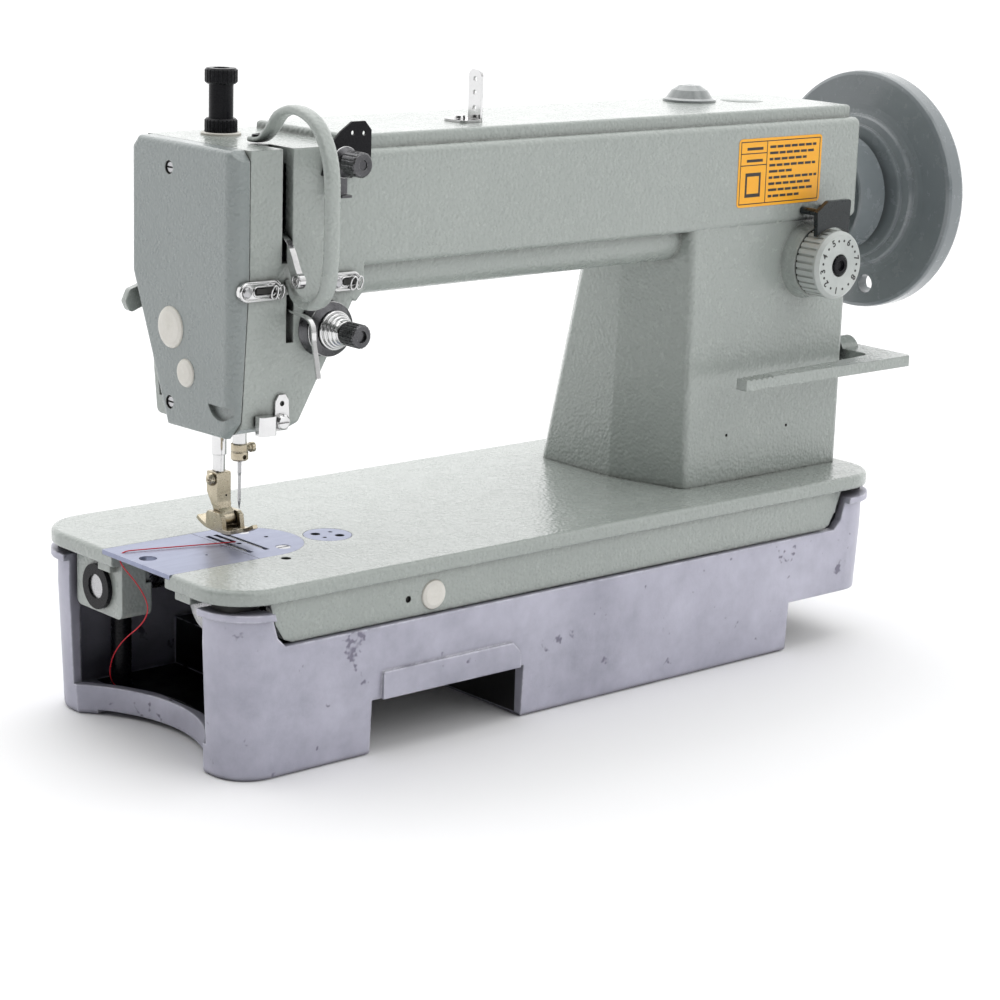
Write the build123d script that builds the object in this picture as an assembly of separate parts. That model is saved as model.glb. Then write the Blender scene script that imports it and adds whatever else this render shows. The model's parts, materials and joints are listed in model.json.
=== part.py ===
from build123d import *
import math
import os

# Industrial flat-bed lockstitch head for leather, standing in a cast-aluminium pan.
# Working frame: X from the bed's left end towards the handwheel, Y from the bed's front
# edge to the back, Z up from the bed's top face. place() moves it to the row's frame.

# ---- bed ----
BED_LENGTH, BED_WIDTH, SLAB = 476.0, 178.0, 8.0
BED_CORNER = 28.0
SKIRT_BOTTOM = -30.0
SKIRT_LEFT, SKIRT_RIGHT = 37.0, 432.0
SKIRT_WALL = 5.0
SKIRT_INSET = 4.0
POCKET_FRONT, POCKET_BACK = 50.0, 110.0
SEAM_X = 55.0
PLATE_THICK = 2.5
GAP = 0.05

# ---- pan ----
PAN_INSET = 5.0
PAN_WALL = 5.0
PAN_CORNER = 24.0
PAN_TOP = -30.6
POST_TOP = -12.0
SILL_TOP, SUMP_BOTTOM, FOOT_BOTTOM, SHALLOW_BOTTOM = -83.0, -96.0, -99.0, -69.5
PAN_DRAFT = 2.5
LEFT_SUMP_RIGHT = 91.0
RIGHT_SUMP_LEFT, RIGHT_SUMP_RIGHT = 194.0, 400.0
WINDOW_FRONT, WINDOW_BACK = 29.0, 149.0
SILL_ARCH = 26.0
RIM_OUT, RIM_HIGH = 3.5, 3.5

# ---- arm, head and column ----
ARM_FRONT, ARM_BACK = 32.0, 119.0
ARM_BOTTOM, ARM_LEDGE, ARM_TOP = 147.0, 205.0, 212.0
ARM_RIGHT = 472.0
ARM_WALL = 7.0
HEAD_LEFT, HEAD_TOP, HEAD_BOTTOM = 34.0, 208.0, 69.0
SEAM_LOW, SEAM_BEND = 29.5, 148.0
SEAT = ARM_FRONT - 0.02
BELLY_BOTTOM = 129.0
COLUMN_FRONT, COLUMN_LEFT, COLUMN_RIGHT = 33.6, 338.0, 469.0
FACE_LEFT = 24.0

# ---- drive ----
SHAFT_Y, SHAFT_Z = 80.0, 154.0
SHAFT_R = 8.0
LOWER_Z = -28.0
LOWER_R = 7.0
RUN = 0.04
CRANK_RADIUS = 15.0
BELT_X, BELT_WIDTH, BELT_THICK = 396.0, 12.0, 3.0
UPPER_PULLEY_R, LOWER_PULLEY_R = 21.0, 10.5

# ---- sewing end ----
NEEDLE_X, NEEDLE_Y = 63.5, 80.0
PRESSER_Y = 98.0
NEEDLE_TIP = 18.0
CLAMP_BOTTOM, CLAMP_TOP = 44.0, 53.0
SOLE_BOTTOM = 5.2
PIN_Y, PIN_Z = 92.0, 11.2
HOOK_R = 17.0
TAKE_UP_X = 56.2
TAKE_UP_PIVOT = (88.0, 172.0)
ROCK_Y, ROCK_Z = 125.0, -24.0

# ---- thread parts on the head ----
TENSION_X, TENSION_Z = 78.0, 119.0
PRETENSION_X, PRETENSION_Z = 84.0, 201.0
CHECK_PIVOT = (39.0, 130.4)
CHECK_LEFT, CHECK_RIGHT = 56.9, 59.6

# ---- right-hand controls ----
DIAL_X, DIAL_Z, DIAL_R = 432.5, 124.5, 19.5
DIAL_FACE, DIAL_BACK = 8.0, 24.0
PUSH_PIN_Z = 154.0
OIL_DOME = (391.0, 94.0)
LEVER_PIVOT = (50.0, 63.0)
WHEEL_R = 72.0
WHEEL_FACE, WHEEL_BACK = 526.0, 540.0

# ---- needle thread: needle hole, over the slide plate, down into the pan ----
THREAD_DIAMETER = 0.6
THREAD_ROUTE = [
    (62.4, 81.4, 0.7), (42.0, 87.8, 0.6), (20.0, 94.2, 0.7), (-1.4, 100.6, 0.6),
    (3.6, 76.5, -15.6), (14.0, 88.0, -34.0), (22.0, 131.0, -60.0), (23.0, 141.0, -80.0),
    (32.0, 141.0, -90.6), (44.0, 131.0, -90.65),
]
THREAD_BENDS = {3: 1.2}


def box(x0, x1, y0, y1, z0, z1):
    """A block between two corners."""
    centre = Pos((x0 + x1) / 2, (y0 + y1) / 2, (z0 + z1) / 2)
    return centre * Box(x1 - x0, y1 - y0, z1 - z0)


def rod_x(radius, x0, x1, y, z):
    """A round bar along X."""
    return Pos((x0 + x1) / 2, y, z) * Rot(0, 90, 0) * Cylinder(radius, x1 - x0)


def rod_y(radius, y0, y1, x, z):
    """A round bar along Y."""
    return Pos(x, (y0 + y1) / 2, z) * Rot(90, 0, 0) * Cylinder(radius, y1 - y0)


def rod_z(radius, z0, z1, x, y):
    """A round bar along Z."""
    return Pos(x, y, (z0 + z1) / 2) * Cylinder(radius, z1 - z0)


def prism_xy(points, z0, z1):
    """A closed outline in plan, extruded upwards."""
    face = make_face(Polyline([(x, y, z0) for x, y in points], close=True))
    return extrude(face, amount=z1 - z0, dir=(0, 0, 1))


def prism_xz(points, y0, y1):
    """A closed front outline, extruded to the back."""
    face = make_face(Polyline([(x, y0, z) for x, z in points], close=True))
    return extrude(face, amount=y1 - y0, dir=(0, 1, 0))


def prism_yz(points, x0, x1):
    """A closed side outline, extruded to the right."""
    face = make_face(Polyline([(x0, y, z) for y, z in points], close=True))
    return extrude(face, amount=x1 - x0, dir=(1, 0, 0))


def turned_x(profile, y, z):
    """A profile of (x, radius) turned about an axis along X."""
    face = make_face(Polyline([(x, r, 0) for x, r in profile], close=True))
    return Pos(0, y, z) * revolve(face, axis=Axis.X)


def turned_y(profile, x, z):
    """A profile of (y, radius) turned about an axis along Y."""
    face = make_face(Polyline([(r, y, 0) for y, r in profile], close=True))
    return Pos(x, 0, z) * revolve(face, axis=Axis.Y)


def turned_z(profile, x, y):
    """A profile of (z, radius) turned about an axis along Z."""
    face = make_face(Polyline([(r, 0, z) for z, r in profile], close=True))
    return Pos(x, y, 0) * revolve(face, axis=Axis.Z)


def rounded_slab(x0, x1, y0, y1, z0, z1, radius):
    """A plate with rounded corners in plan."""
    plan = Pos((x0 + x1) / 2, (y0 + y1) / 2, z0) * RectangleRounded(x1 - x0, y1 - y0, radius)
    return extrude(plan, amount=z1 - z0, dir=(0, 0, 1))


def strip_yz(points, thick, x0, x1):
    """A bent flat strip that follows a smooth line of (y, z) points and is wide along X."""
    left, right = [], []
    last = len(points) - 1
    for i, (y, z) in enumerate(points):
        before, after = points[max(i - 1, 0)], points[min(i + 1, last)]
        dy, dz = after[0] - before[0], after[1] - before[1]
        size = math.hypot(dy, dz)
        ny, nz = -dz / size * thick / 2, dy / size * thick / 2
        left.append((x0, y + ny, z + nz))
        right.append((x0, y - ny, z - nz))
    edges = [Spline(left), Line(left[-1], right[-1]), Spline(right[::-1]), Line(right[0], left[0])]
    return extrude(make_face(edges), amount=x1 - x0, dir=(1, 0, 0))


def near(edges, axis, *values):
    """The edges whose middles lie at one of these values along an axis."""
    return [e for e in edges if any(abs(getattr(e.center(), axis) - v) < 0.1 for v in values)]


def group(solids):
    """Separate solids that share one node."""
    return Compound(children=[s for item in solids for s in item.solids()])


# ------------------------------------------------------------------ pan
def pan_outline(out, z0, z1):
    """The pan's plan, grown outwards by out; below the bed its walls lean in towards the feet."""
    turn = min(max(z0, PAN_TOP), z1)
    lean = out - (PAN_TOP - min(z1, PAN_TOP)) * math.tan(math.radians(PAN_DRAFT))
    body = []
    for grow, low, high, draft in ((out, turn, z1, 0.0), (lean, z0, turn, PAN_DRAFT)):
        if high - low > 0.01:
            length, width = BED_LENGTH - 2 * (PAN_INSET - grow), BED_WIDTH - 2 * (1.0 - grow)
            plan = Pos(BED_LENGTH / 2, BED_WIDTH / 2, high) * RectangleRounded(length, width, PAN_CORNER + grow)
            body.append(extrude(plan, amount=high - low, dir=(0, 0, -1), taper=draft))
    return body[0] if len(body) == 1 else body[0] + body[1]


def sill_drum(grow):
    """The upright drum that hollows the left end wall in plan."""
    half = (WINDOW_BACK - WINDOW_FRONT) / 2
    radius = (half ** 2 + SILL_ARCH ** 2) / (2 * SILL_ARCH)
    middle = (WINDOW_BACK + WINDOW_FRONT) / 2
    return rod_z(radius + grow, -120, 20, PAN_INSET + SILL_ARCH - radius, middle)


def corner_zone(z0):
    """The four corners where the pan rises into posts, with sloping shoulders."""
    right = BED_LENGTH
    low_left, top_left = SKIRT_LEFT - 1, 26.0
    left = [(-20, z0), (low_left, z0), (top_left + 4, z0 + 6), (top_left, POST_TOP), (-20, POST_TOP)]
    low_right, top_right = SKIRT_RIGHT + 1, 443.0
    shoulder = [(right + 20, z0), (low_right, z0), (top_right - 4, z0 + 6), (top_right, POST_TOP),
                (right + 20, POST_TOP)]
    zones = []
    for y0, y1 in ((-20.0, WINDOW_FRONT), (WINDOW_BACK, BED_WIDTH + 20)):
        zones += [prism_xz(left, y0, y1), prism_xz(shoulder, y0, y1)]
    return zones


def base_pan():
    foot_deep = 40.0
    left_sump = pan_outline(0, SUMP_BOTTOM, PAN_TOP) & box(-20, LEFT_SUMP_RIGHT, -20, 200, -100, 0)
    right_sump = (pan_outline(0, FOOT_BOTTOM, PAN_TOP)
                  & box(RIGHT_SUMP_LEFT, RIGHT_SUMP_RIGHT, -20, 200, -100, 0))
    shell = pan_outline(0, SHALLOW_BOTTOM, PAN_TOP) + left_sump + right_sump
    feet = pan_outline(0, FOOT_BOTTOM, SUMP_BOTTOM)
    for y0, y1 in ((-20.0, foot_deep), (BED_WIDTH - foot_deep, 200.0)):
        shell += feet & box(-20, LEFT_SUMP_RIGHT, y0, y1, -100, 0)
    shell -= sill_drum(0)
    inner = pan_outline(-PAN_WALL, SHALLOW_BOTTOM + PAN_WALL, 0)
    deep = pan_outline(-PAN_WALL, SUMP_BOTTOM + PAN_WALL, 0)
    inner += deep & box(-20, LEFT_SUMP_RIGHT - PAN_WALL, -20, 200, -100, 0)
    inner += deep & box(RIGHT_SUMP_LEFT + PAN_WALL, RIGHT_SUMP_RIGHT - PAN_WALL, -20, 200, -100, 0)
    inner -= sill_drum(PAN_WALL)
    shell -= inner
    shell -= box(-20, PAN_INSET + SILL_ARCH + 12, WINDOW_FRONT, WINDOW_BACK, SILL_TOP, 0)
    ring = pan_outline(0, PAN_TOP - 1, POST_TOP) - pan_outline(-PAN_WALL, PAN_TOP - 1, POST_TOP)
    rim = pan_outline(RIM_OUT, POST_TOP - RIM_HIGH, POST_TOP) - pan_outline(-PAN_WALL, -60, 0)
    shelf = pan_outline(-1, POST_TOP - 6, POST_TOP)
    for zone in corner_zone(PAN_TOP - 1):
        shell += ring & zone
        shell += rim & zone
    for x0, x1 in ((0.0, 25.0), (BED_LENGTH - 33.0, BED_LENGTH)):
        for y0, y1 in ((0.0, WINDOW_FRONT), (WINDOW_BACK, BED_WIDTH)):
            shell += shelf & box(x0, x1, y0, y1, -60, 0)
    shell = fillet(near(shell.edges(), "Z", FOOT_BOTTOM), 2.5)
    band = [(97.0, SHALLOW_BOTTOM), (190.0, SHALLOW_BOTTOM), (190.0, -61.0), (184.0, -55.0), (97.0, -55.0)]
    shell += prism_xz(band, 0.4, 3.0)
    return shell


def pan_cushions():
    pads = []
    for x0, x1 in ((8.0, 28.0), (444.0, 468.0)):
        for y0, y1 in ((10.5, 28.5), (149.5, 167.5)):
            pads.append(rounded_slab(x0, x1, y0, y1, POST_TOP, -SLAB, 4.0))
    return group(pads)


def support_post():
    foot, top = SUMP_BOTTOM + PAN_WALL, -SLAB
    profile = [(foot, 0), (foot, 7.0), (foot + 2, 7.0), (foot + 3, 5.5), (top - 1, 5.5), (top, 4.5), (top, 0)]
    return turned_z(profile, 37.0, 149.0)


# ------------------------------------------------------------------ bed
def needle_plate_plan(radius, z0, z1, left):
    """The needle plate's outline: a straight left edge and a round right end."""
    centre_x, centre_y = 68.0, (POCKET_FRONT + POCKET_BACK) / 2
    block = box(left, centre_x, centre_y - radius, centre_y + radius, z0, z1)
    end = rod_z(radius, z0, z1, centre_x, centre_y) - box(0, centre_x, 0, BED_WIDTH, z0 - 1, z1 + 1)
    return block + end


def bed():
    slab = rounded_slab(0, BED_LENGTH, 0, BED_WIDTH, -SLAB, 0, BED_CORNER)
    slab = fillet(slab.edges().group_by(Axis.Z)[-1], 2.5)
    slab = fillet(slab.edges().group_by(Axis.Z)[0], 1.5)
    body = slab
    low, under = SKIRT_BOTTOM, -SLAB + 1
    skirt = [(27.0, under), (31.0, -20.0), (SKIRT_LEFT - 1, low + 2), (SKIRT_LEFT + 4, low),
             (SKIRT_RIGHT - 4, low), (SKIRT_RIGHT, low + 2), (437.0, -20.0), (442.0, under)]
    for y0 in (SKIRT_INSET, BED_WIDTH - SKIRT_INSET - SKIRT_WALL):
        body += prism_xz(skirt, y0, y0 + SKIRT_WALL)
    lug_radius = 13.0
    for x0, x1 in ((96.0, 106.0), (330.0, 340.0)):
        body += box(x0, x1, SKIRT_INSET, BED_WIDTH - SKIRT_INSET, -18, under)
        body += rod_x(lug_radius, x0, x1, SHAFT_Y, LOWER_Z)
        body += box(x0, x1, SHAFT_Y - lug_radius, SHAFT_Y + lug_radius, LOWER_Z, -17)
        body -= rod_x(10.0, x0 - 1, x1 + 1, SHAFT_Y, LOWER_Z)
    body += box(96, 106, ROCK_Y - 11, ROCK_Y + 11, ROCK_Z, -17) + rod_x(11, 96, 106, ROCK_Y, ROCK_Z)
    body -= rod_x(6.5 + RUN, 95, 107, ROCK_Y, ROCK_Z)
    lug = box(8, 26, 104, 146, -38, -3.2)
    lug = fillet(lug.edges().filter_by(Axis.X).group_by(Axis.Z)[0], 4.0)
    body += lug
    body -= rod_x(10.5, 7, 27, ROCK_Y, ROCK_Z)
    for y0, y1 in ((38.0, POCKET_FRONT + 1), (POCKET_BACK - 1, 120.0)):
        body += box(4, 54, y0, y1, -13, under)
    body -= box(-5, SEAM_X, POCKET_FRONT, POCKET_BACK, -PLATE_THICK, 5)
    body -= box(-5, SEAM_X, POCKET_FRONT + 4, 101.5, -20, 1)
    body -= box(22.5, SEAM_X, 101, POCKET_BACK - 4, -20, 1)
    body -= needle_plate_plan(30.0, -PLATE_THICK, 5, SEAM_X - 1)
    body -= box(SEAM_X - 2, 73, 57, 107, -20, 1)
    for y in PLATE_SCREWS_Y:
        body -= rod_z(2.05, -20, 1, PLATE_SCREW_X, y)
    body -= rod_z(13.0, -PLATE_THICK, 5, 112.0, 68.4)
    body -= rod_z(2.6, -20, 5, 66.0, 43.0)
    body -= rod_y(7.0, 2, 12, 131.0, -20.5)
    body -= rod_y(1.8, 2, 12, 114.5, -20.5)
    body -= box(BELT_X - 12, BELT_X + 12, 48, 112, -20, 5)
    return body


def slide_plate():
    plate = box(0, SEAM_X - 0.5, POCKET_FRONT + 0.15, POCKET_BACK - 0.15, -PLATE_THICK + GAP, 0)
    plate -= rod_z(4.6, -5, 5, 9.0, 82.0)
    plate -= rod_z(0.9, -5, 5, 37.0, 71.0)
    return plate


PLATE_SCREW_X, PLATE_SCREWS_Y = 78.5, (62.0, 98.0)
SLOT_FRONT, SLOT_BACK, SLOT_WIDTH = 62.0, 101.0, 2.8
ROW_OFFSETS = (-5.0, 0.0, 5.0)


def needle_plate():
    plate = needle_plate_plan(29.9, -PLATE_THICK, 0, SEAM_X)
    for offset in ROW_OFFSETS:
        front = SLOT_FRONT if offset else NEEDLE_Y + 4.0
        x = NEEDLE_X + offset
        plate -= box(x - SLOT_WIDTH / 2, x + SLOT_WIDTH / 2, front, SLOT_BACK, -5, 5)
    plate -= rod_z(1.5, -5, 5, NEEDLE_X, NEEDLE_Y)
    plate -= rod_z(1.3, -5, 5, 83.0, 83.0)
    for y in PLATE_SCREWS_Y:
        plate -= turned_z([(-5, 0), (-5, 2.2), (-2, 2.2), (-0.1, 4.1), (1, 4.1), (1, 0)], PLATE_SCREW_X, y)
    return plate


def screw_head(profile_end, radius, x, y):
    """A countersunk slotted screw, flush with the plate."""
    depth = 6.0
    screw = turned_z([(-depth, 0), (-depth, 2.0), (-2.1, 2.0), (profile_end, radius), (profile_end, 0)], x, y)
    return screw - box(x - radius, x + radius, y - 0.5, y + 0.5, profile_end - 0.9, profile_end + 1)


FACE_SCREWS = ((86.0, 195.0), (85.0, 78.0))


def cover_screws():
    screws = [screw_head(-0.2, 3.9, PLATE_SCREW_X, y) for y in PLATE_SCREWS_Y]
    for y, z in FACE_SCREWS:
        head = turned_x([(24.8, 0), (24.8, 2.6), (27.0, 2.9), (27.0, 1.9), (39.0, 1.9), (39.0, 0)], y, z)
        screws.append(head - box(24, 25.7, y - 3, y + 3, z - 0.4, z + 0.4))
    return group(screws)


def bed_disc():
    disc = rod_z(12.7, -PLATE_THICK, 0, 112.0, 68.4)
    holes = ((-4.5, 4.6, 2.6), (4.5, -4.6, 2.6), (-4.6, -3.6, 1.2), (4.6, 3.6, 1.2))
    for dx, dy, radius in holes:
        disc -= rod_z(radius, -5, 5, 112.0 + dx, 68.4 + dy)
    return disc


# ------------------------------------------------------------------ arm casting
def head_side(back_low, low, back_mid, top, front):
    """Side outline of the head: upright front, back that tapers to the bottom."""
    return [(front, low + 4), (front + 6, low), (back_low, low), (back_mid, 140.0), (back_mid, top),
            (front, top)]


def arm_outside():
    arm = box(HEAD_LEFT, ARM_RIGHT, ARM_FRONT, ARM_BACK, ARM_BOTTOM, ARM_LEDGE)
    right = near(arm.edges(), "X", ARM_RIGHT)
    arm = fillet(right + arm.edges().filter_by(Axis.X), 4.0)
    platform = box(98, ARM_RIGHT - 5, ARM_FRONT + 6, ARM_BACK - 4, ARM_LEDGE - 6, ARM_TOP)
    platform = fillet(platform.edges().group_by(Axis.Z)[-1], 2.0)
    belly = box(70, 345, ARM_FRONT + 10, ARM_BACK - 6, BELLY_BOTTOM, ARM_BOTTOM + 1)
    belly = fillet(belly.edges().filter_by(Axis.X).group_by(Axis.Z)[0], 13.0)
    front = [(SEAM_LOW, HEAD_BOTTOM), (64, HEAD_BOTTOM), (99, 130), (120, ARM_BOTTOM + 4),
             (120, HEAD_TOP), (HEAD_LEFT, HEAD_TOP), (HEAD_LEFT, SEAM_BEND)]
    head = prism_xz(front, 0, 150) & prism_yz(
        head_side(104.0, HEAD_BOTTOM, ARM_BACK, HEAD_TOP, ARM_FRONT), 20, 130)
    head = head & box(20, 104, 0, 200, 0, 300)
    soft = [e for e in head.edges() if 36 < e.center().X < 101 and 60 < e.center().Z < ARM_LEDGE]
    head = fillet(soft, 4.0)
    low = make_face(Polyline([
        (COLUMN_LEFT + 2, COLUMN_FRONT, 0), (COLUMN_RIGHT, COLUMN_FRONT, 0), (COLUMN_RIGHT, 146, 0),
        (334, 146, 0), (327, 138, 0), (327, 82, 0)], close=True))
    high = make_face(Polyline([
        (COLUMN_LEFT, COLUMN_FRONT, 150), (COLUMN_RIGHT, COLUMN_FRONT, 150), (COLUMN_RIGHT, 114, 150),
        (336, 114, 150), (331, 106, 150), (331, 82, 150)], close=True))
    column = loft([low, high])
    column = fillet([e for e in column.edges() if abs((e % 0.5).Z) > 0.7], 4.0)
    boss = turned_y([(DIAL_BACK + 0.6, 0), (DIAL_BACK + 0.6, 20.5), (COLUMN_FRONT + 1, 22.5),
                     (COLUMN_FRONT + 1, 0)], DIAL_X, DIAL_Z)
    stud = rod_y(5.0, DIAL_FACE + 4, DIAL_BACK + 2, DIAL_X, DIAL_Z)
    return arm + platform + belly + head + column + boss + stud


def arm_inside():
    wall = ARM_WALL
    side = [(ARM_FRONT + 6, 78), (102.6, 78), (113, 130), (113, 200), (ARM_FRONT + 6, 200)]
    hollow = prism_yz(side, 25, 88)
    hollow &= prism_xz([(25, 60), (60, 60), (88, 122), (88, 210), (25, 210)], 0, 150)
    for x0, x1 in ((102.0, 302.0), (312.0, 462.0)):
        hollow += box(x0, x1, ARM_FRONT + wall, ARM_BACK - wall, ARM_BOTTOM + 5, ARM_LEDGE - 6)
    for x0, x1 in ((104.0, 302.0), (312.0, 350.0)):
        hollow += box(x0, x1, ARM_FRONT + 17, ARM_BACK - 13, BELLY_BOTTOM + 7, ARM_BOTTOM + 6)
    hollow += box(COLUMN_LEFT + 10, COLUMN_RIGHT - wall, COLUMN_FRONT + 8, 108, -1, ARM_BOTTOM + 6)
    return hollow


def arm_casting():
    body = arm_outside() - arm_inside()
    pivot_y, pivot_z = TAKE_UP_PIVOT
    body += box(54, 69.4, 71, 114, 152, 162) + box(59.5, 69.4, pivot_y - 3.6, pivot_y + 3.6, 161, 178)
    for y, z in FACE_SCREWS:
        body += rod_x(6.2, HEAD_LEFT if z > SEAM_BEND else SEAM_LOW + 1.5, 50, y, z)
        body -= rod_x(1.95, 20, 50, y, z)
    for x0, x1 in ((84.0, 106.0), (299.0, 315.0), (458.0, 474.0)):
        body += rod_x(17.0, x0, x1, SHAFT_Y, SHAFT_Z)
        body -= rod_x(13.0, x0 - 1, x1 + 1, SHAFT_Y, SHAFT_Z)
    body -= rod_x(5.0 + RUN, ARM_RIGHT - 20, ARM_RIGHT + 20, *LEVER_PIVOT)
    body -= box(53.0, 59.4, ARM_FRONT - 5, ARM_FRONT + 20, 152.5, HEAD_TOP + 5)
    body -= box(56.0, 60.5, ARM_FRONT - 5, ARM_FRONT + 8, 113, 137)
    body -= rod_z(6.0, HEAD_BOTTOM - 2, 80, NEEDLE_X, NEEDLE_Y)
    body -= rod_z(6.0, 151, 163, NEEDLE_X, NEEDLE_Y)
    body -= rod_z(5.4, HEAD_BOTTOM - 2, 80, NEEDLE_X, PRESSER_Y)
    body -= rod_z(4.0 + RUN, 151, 163, NEEDLE_X, PRESSER_Y)
    body -= rod_z(6.2 + RUN, 190, HEAD_TOP + 3, NEEDLE_X, PRESSER_Y)
    body -= rod_x(2.5, 50, 70, *TAKE_UP_PIVOT)
    body -= rod_y(3.05, ARM_FRONT - 1, ARM_FRONT + 7, TENSION_X, TENSION_Z)
    body -= rod_y(2.55, ARM_FRONT - 1, ARM_FRONT + 7, PRETENSION_X, PRETENSION_Z)
    body -= rod_z(1.6, ARM_TOP - 5, ARM_TOP + 5, 193.0, 66.0)
    body -= rod_z(12.5, ARM_TOP - 8, ARM_TOP + 1, *OIL_DOME)
    for x in (DIAL_X - 8, DIAL_X + 8):
        body -= rod_y(2.0 + RUN, ARM_FRONT - 2, ARM_FRONT + 9, x, PUSH_PIN_Z)
    for x in (373.0, 423.0):
        body -= rod_y(0.9, COLUMN_FRONT - 1, COLUMN_FRONT + 4, x, 27.5)
    body -= rod_y(4.5 + RUN, 100, 125, 72.0, 128.0)
    return body


def face_plate():
    side = [(32, 76), (40, 67), (88, 66), (ARM_BACK, 140), (ARM_BACK, 203), (114, 208), (37, 208), (32, 203)]
    outer = prism_yz(side, FACE_LEFT, HEAD_LEFT - 0.4)
    outer = fillet(near(outer.edges().group_by(Axis.X)[0], "Y", ARM_FRONT), 7.0)
    outer = fillet(near(outer.edges(), "X", FACE_LEFT), 3.0)
    seam = HEAD_LEFT - 0.4
    behind = [(SEAM_LOW - 0.7, 50), (SEAM_LOW - 0.4, HEAD_BOTTOM), (seam, SEAM_BEND), (60, SEAM_BEND), (60, 50)]
    outer -= prism_xz(behind, 0, 150)
    hollow = prism_yz([(38, 80), (84, 74), (112, 142), (112, 200), (38, 200)], FACE_LEFT + 4.5, HEAD_LEFT + 1)
    plate = outer - hollow
    for y, z in FACE_SCREWS:
        plate += rod_x(6.2, FACE_LEFT + 4, SEAM_LOW - 0.4 if z < SEAM_BEND else seam, y, z)
        plate -= rod_x(2.1, FACE_LEFT - 1, HEAD_LEFT + 1, y, z)
        plate -= rod_x(3.4, FACE_LEFT - 1, 27.0, y, z)
    for y, z, radius in FACE_PLUGS:
        plate -= rod_x(radius - 2, FACE_LEFT - 1, FACE_LEFT + 6, y, z)
    recess = rod_x(10.5, 20, FACE_LEFT + 2.5, 42, 86.5) & box(20, 31, 30, 60, 70, 83)
    return plate - recess


FACE_PLUGS = ((84.0, 116.0, 10.6), (71.0, 95.0, 7.2))


def white_plugs():
    plugs = []
    for y, z, radius in FACE_PLUGS:
        profile = [(FACE_LEFT - 1.6, 0), (FACE_LEFT - 1.5, radius - 2.5), (FACE_LEFT - 0.8, radius - 0.5),
                   (FACE_LEFT, radius), (FACE_LEFT, radius - 2), (FACE_LEFT + 5, radius - 2),
                   (FACE_LEFT + 5, 0)]
        plugs.append(turned_x(profile, y, z))
    front = SKIRT_INSET - 0.02
    profile = [(front - 1.5, 0), (front - 1.4, 5.5), (front - 0.8, 7.4), (front, 7.9), (front, 6.95),
               (front + 5, 6.95), (front + 5, 0)]
    plugs.append(turned_y(profile, 131.0, -20.5))
    return group(plugs)


def take_up_guard():
    line = [(60, 209.7), (52, 210.2), (45, 216), (38, 225.5), (26, 228), (12, 224), (2, 214), (-3, 200),
            (-4, 180), (-4, 160), (-1, 144), (6, 135.2), (16, 133.0), (25, 135.6), (32.4, 143)]
    guard = strip_yz(line, 3.2, 52.2, 60.2)
    return guard - box(50, 62, SEAT, 50, 130, 208) - box(50, 62, 40, 70, 200, HEAD_TOP + 0.02)


# ------------------------------------------------------------------ thread guides and tensions
def slotted_oval(centre_x, centre_z, length, height):
    """A chrome guide: an oval eye plate lying on the front face."""
    plan = SlotOverall(length, height) - Pos(2.5, 0) * SlotOverall(length * 0.5, height * 0.36)
    plate = extrude(plan, amount=2.6, dir=(0, 0, 1))
    return Pos(centre_x, SEAT, centre_z) * Rot(90, 0, 0) * plate


def oval_thread_guides():
    return group([slotted_oval(38.8, 140.5, 25.5, 10), slotted_oval(90.5, 141.0, 19, 9.5)])


def lower_thread_guide():
    front = ARM_FRONT - 1.6
    tall = prism_xz([(48.5, 70), (56.5, 70), (57.5, 76), (57, 85), (55, 88), (51, 88), (49, 85)],
                    front, SEAT)
    arm = box(44, 50, front, SEAT, 70.5, 76)
    block = rounded_slab(36.5, 46.5, 24.5, SEAT, 69.5, 79, 2.5)
    guide = tall + arm + block
    guide -= rod_y(1.3, front - 1, ARM_FRONT + 1, 53, 83.5)
    guide += turned_y([(27.6, 0), (27.6, 3.0), (28.4, 3.9), (front, 3.9), (front, 0)], 52.5, 74.5)
    return guide - box(48, 57, 27, 28.4, 74.1, 74.9)


def arm_top_thread_guide():
    base = rounded_slab(186, 200, 55, 72, ARM_TOP, ARM_TOP + 1.4, 3)
    upright = box(198.6, 200, 56, 66, ARM_TOP, ARM_TOP + 27)
    upright = fillet(upright.edges().filter_by(Axis.X).group_by(Axis.Z)[-1], 3.5)
    guide = base + upright
    for z in (7.0, 15.0, 22.0):
        guide -= rod_x(1.3, 195, 205, 61, ARM_TOP + z)
    guide += turned_z([(ARM_TOP - 4.9, 0), (ARM_TOP - 4.9, 1.6), (ARM_TOP + 1, 1.6), (ARM_TOP + 1, 3.2),
                       (ARM_TOP + 3, 2.6), (ARM_TOP + 3, 0)], 193.0, 66.0)
    return guide


def oil_sight_dome():
    top = ARM_TOP
    profile = [(top - 7.5, 0), (top - 7.5, 12.3), (top, 12.3), (top, 15.5), (top + 1.2, 15.5),
               (top + 2.2, 13.5), (top + 6.5, 10.5), (top + 9.2, 6.0), (top + 10, 0)]
    return turned_z(profile, *OIL_DOME)


def pretension_plate():
    outline = [(76, 194), (80, 208), (87, 215), (94, 219.5), (102, 219.5), (106, 215), (106, 198), (94, 192)]
    plate = prism_xz(outline, ARM_FRONT - 1.4, SEAT)
    for x, z in ((94.5, 214.0), (101.5, 213.5)):
        plate -= rod_y(1.2, 20, 40, x, z)
    return plate - rod_y(2.6, 20, 40, PRETENSION_X, PRETENSION_Z)


def disc_pair(radius, middle, bore, x, z):
    """Two dished tension discs, rim to rim."""
    half, gap = radius * 0.75, 0.05
    front = [(middle - 2.2, half), (middle - gap, radius), (middle - 0.7, radius), (middle - 2.8, half),
             (middle - 2.8, bore), (middle - 2.2, bore)]
    back = [(2 * middle - y, r) for y, r in front]
    return [turned_y(front, x, z), turned_y(back, x, z)]


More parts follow.
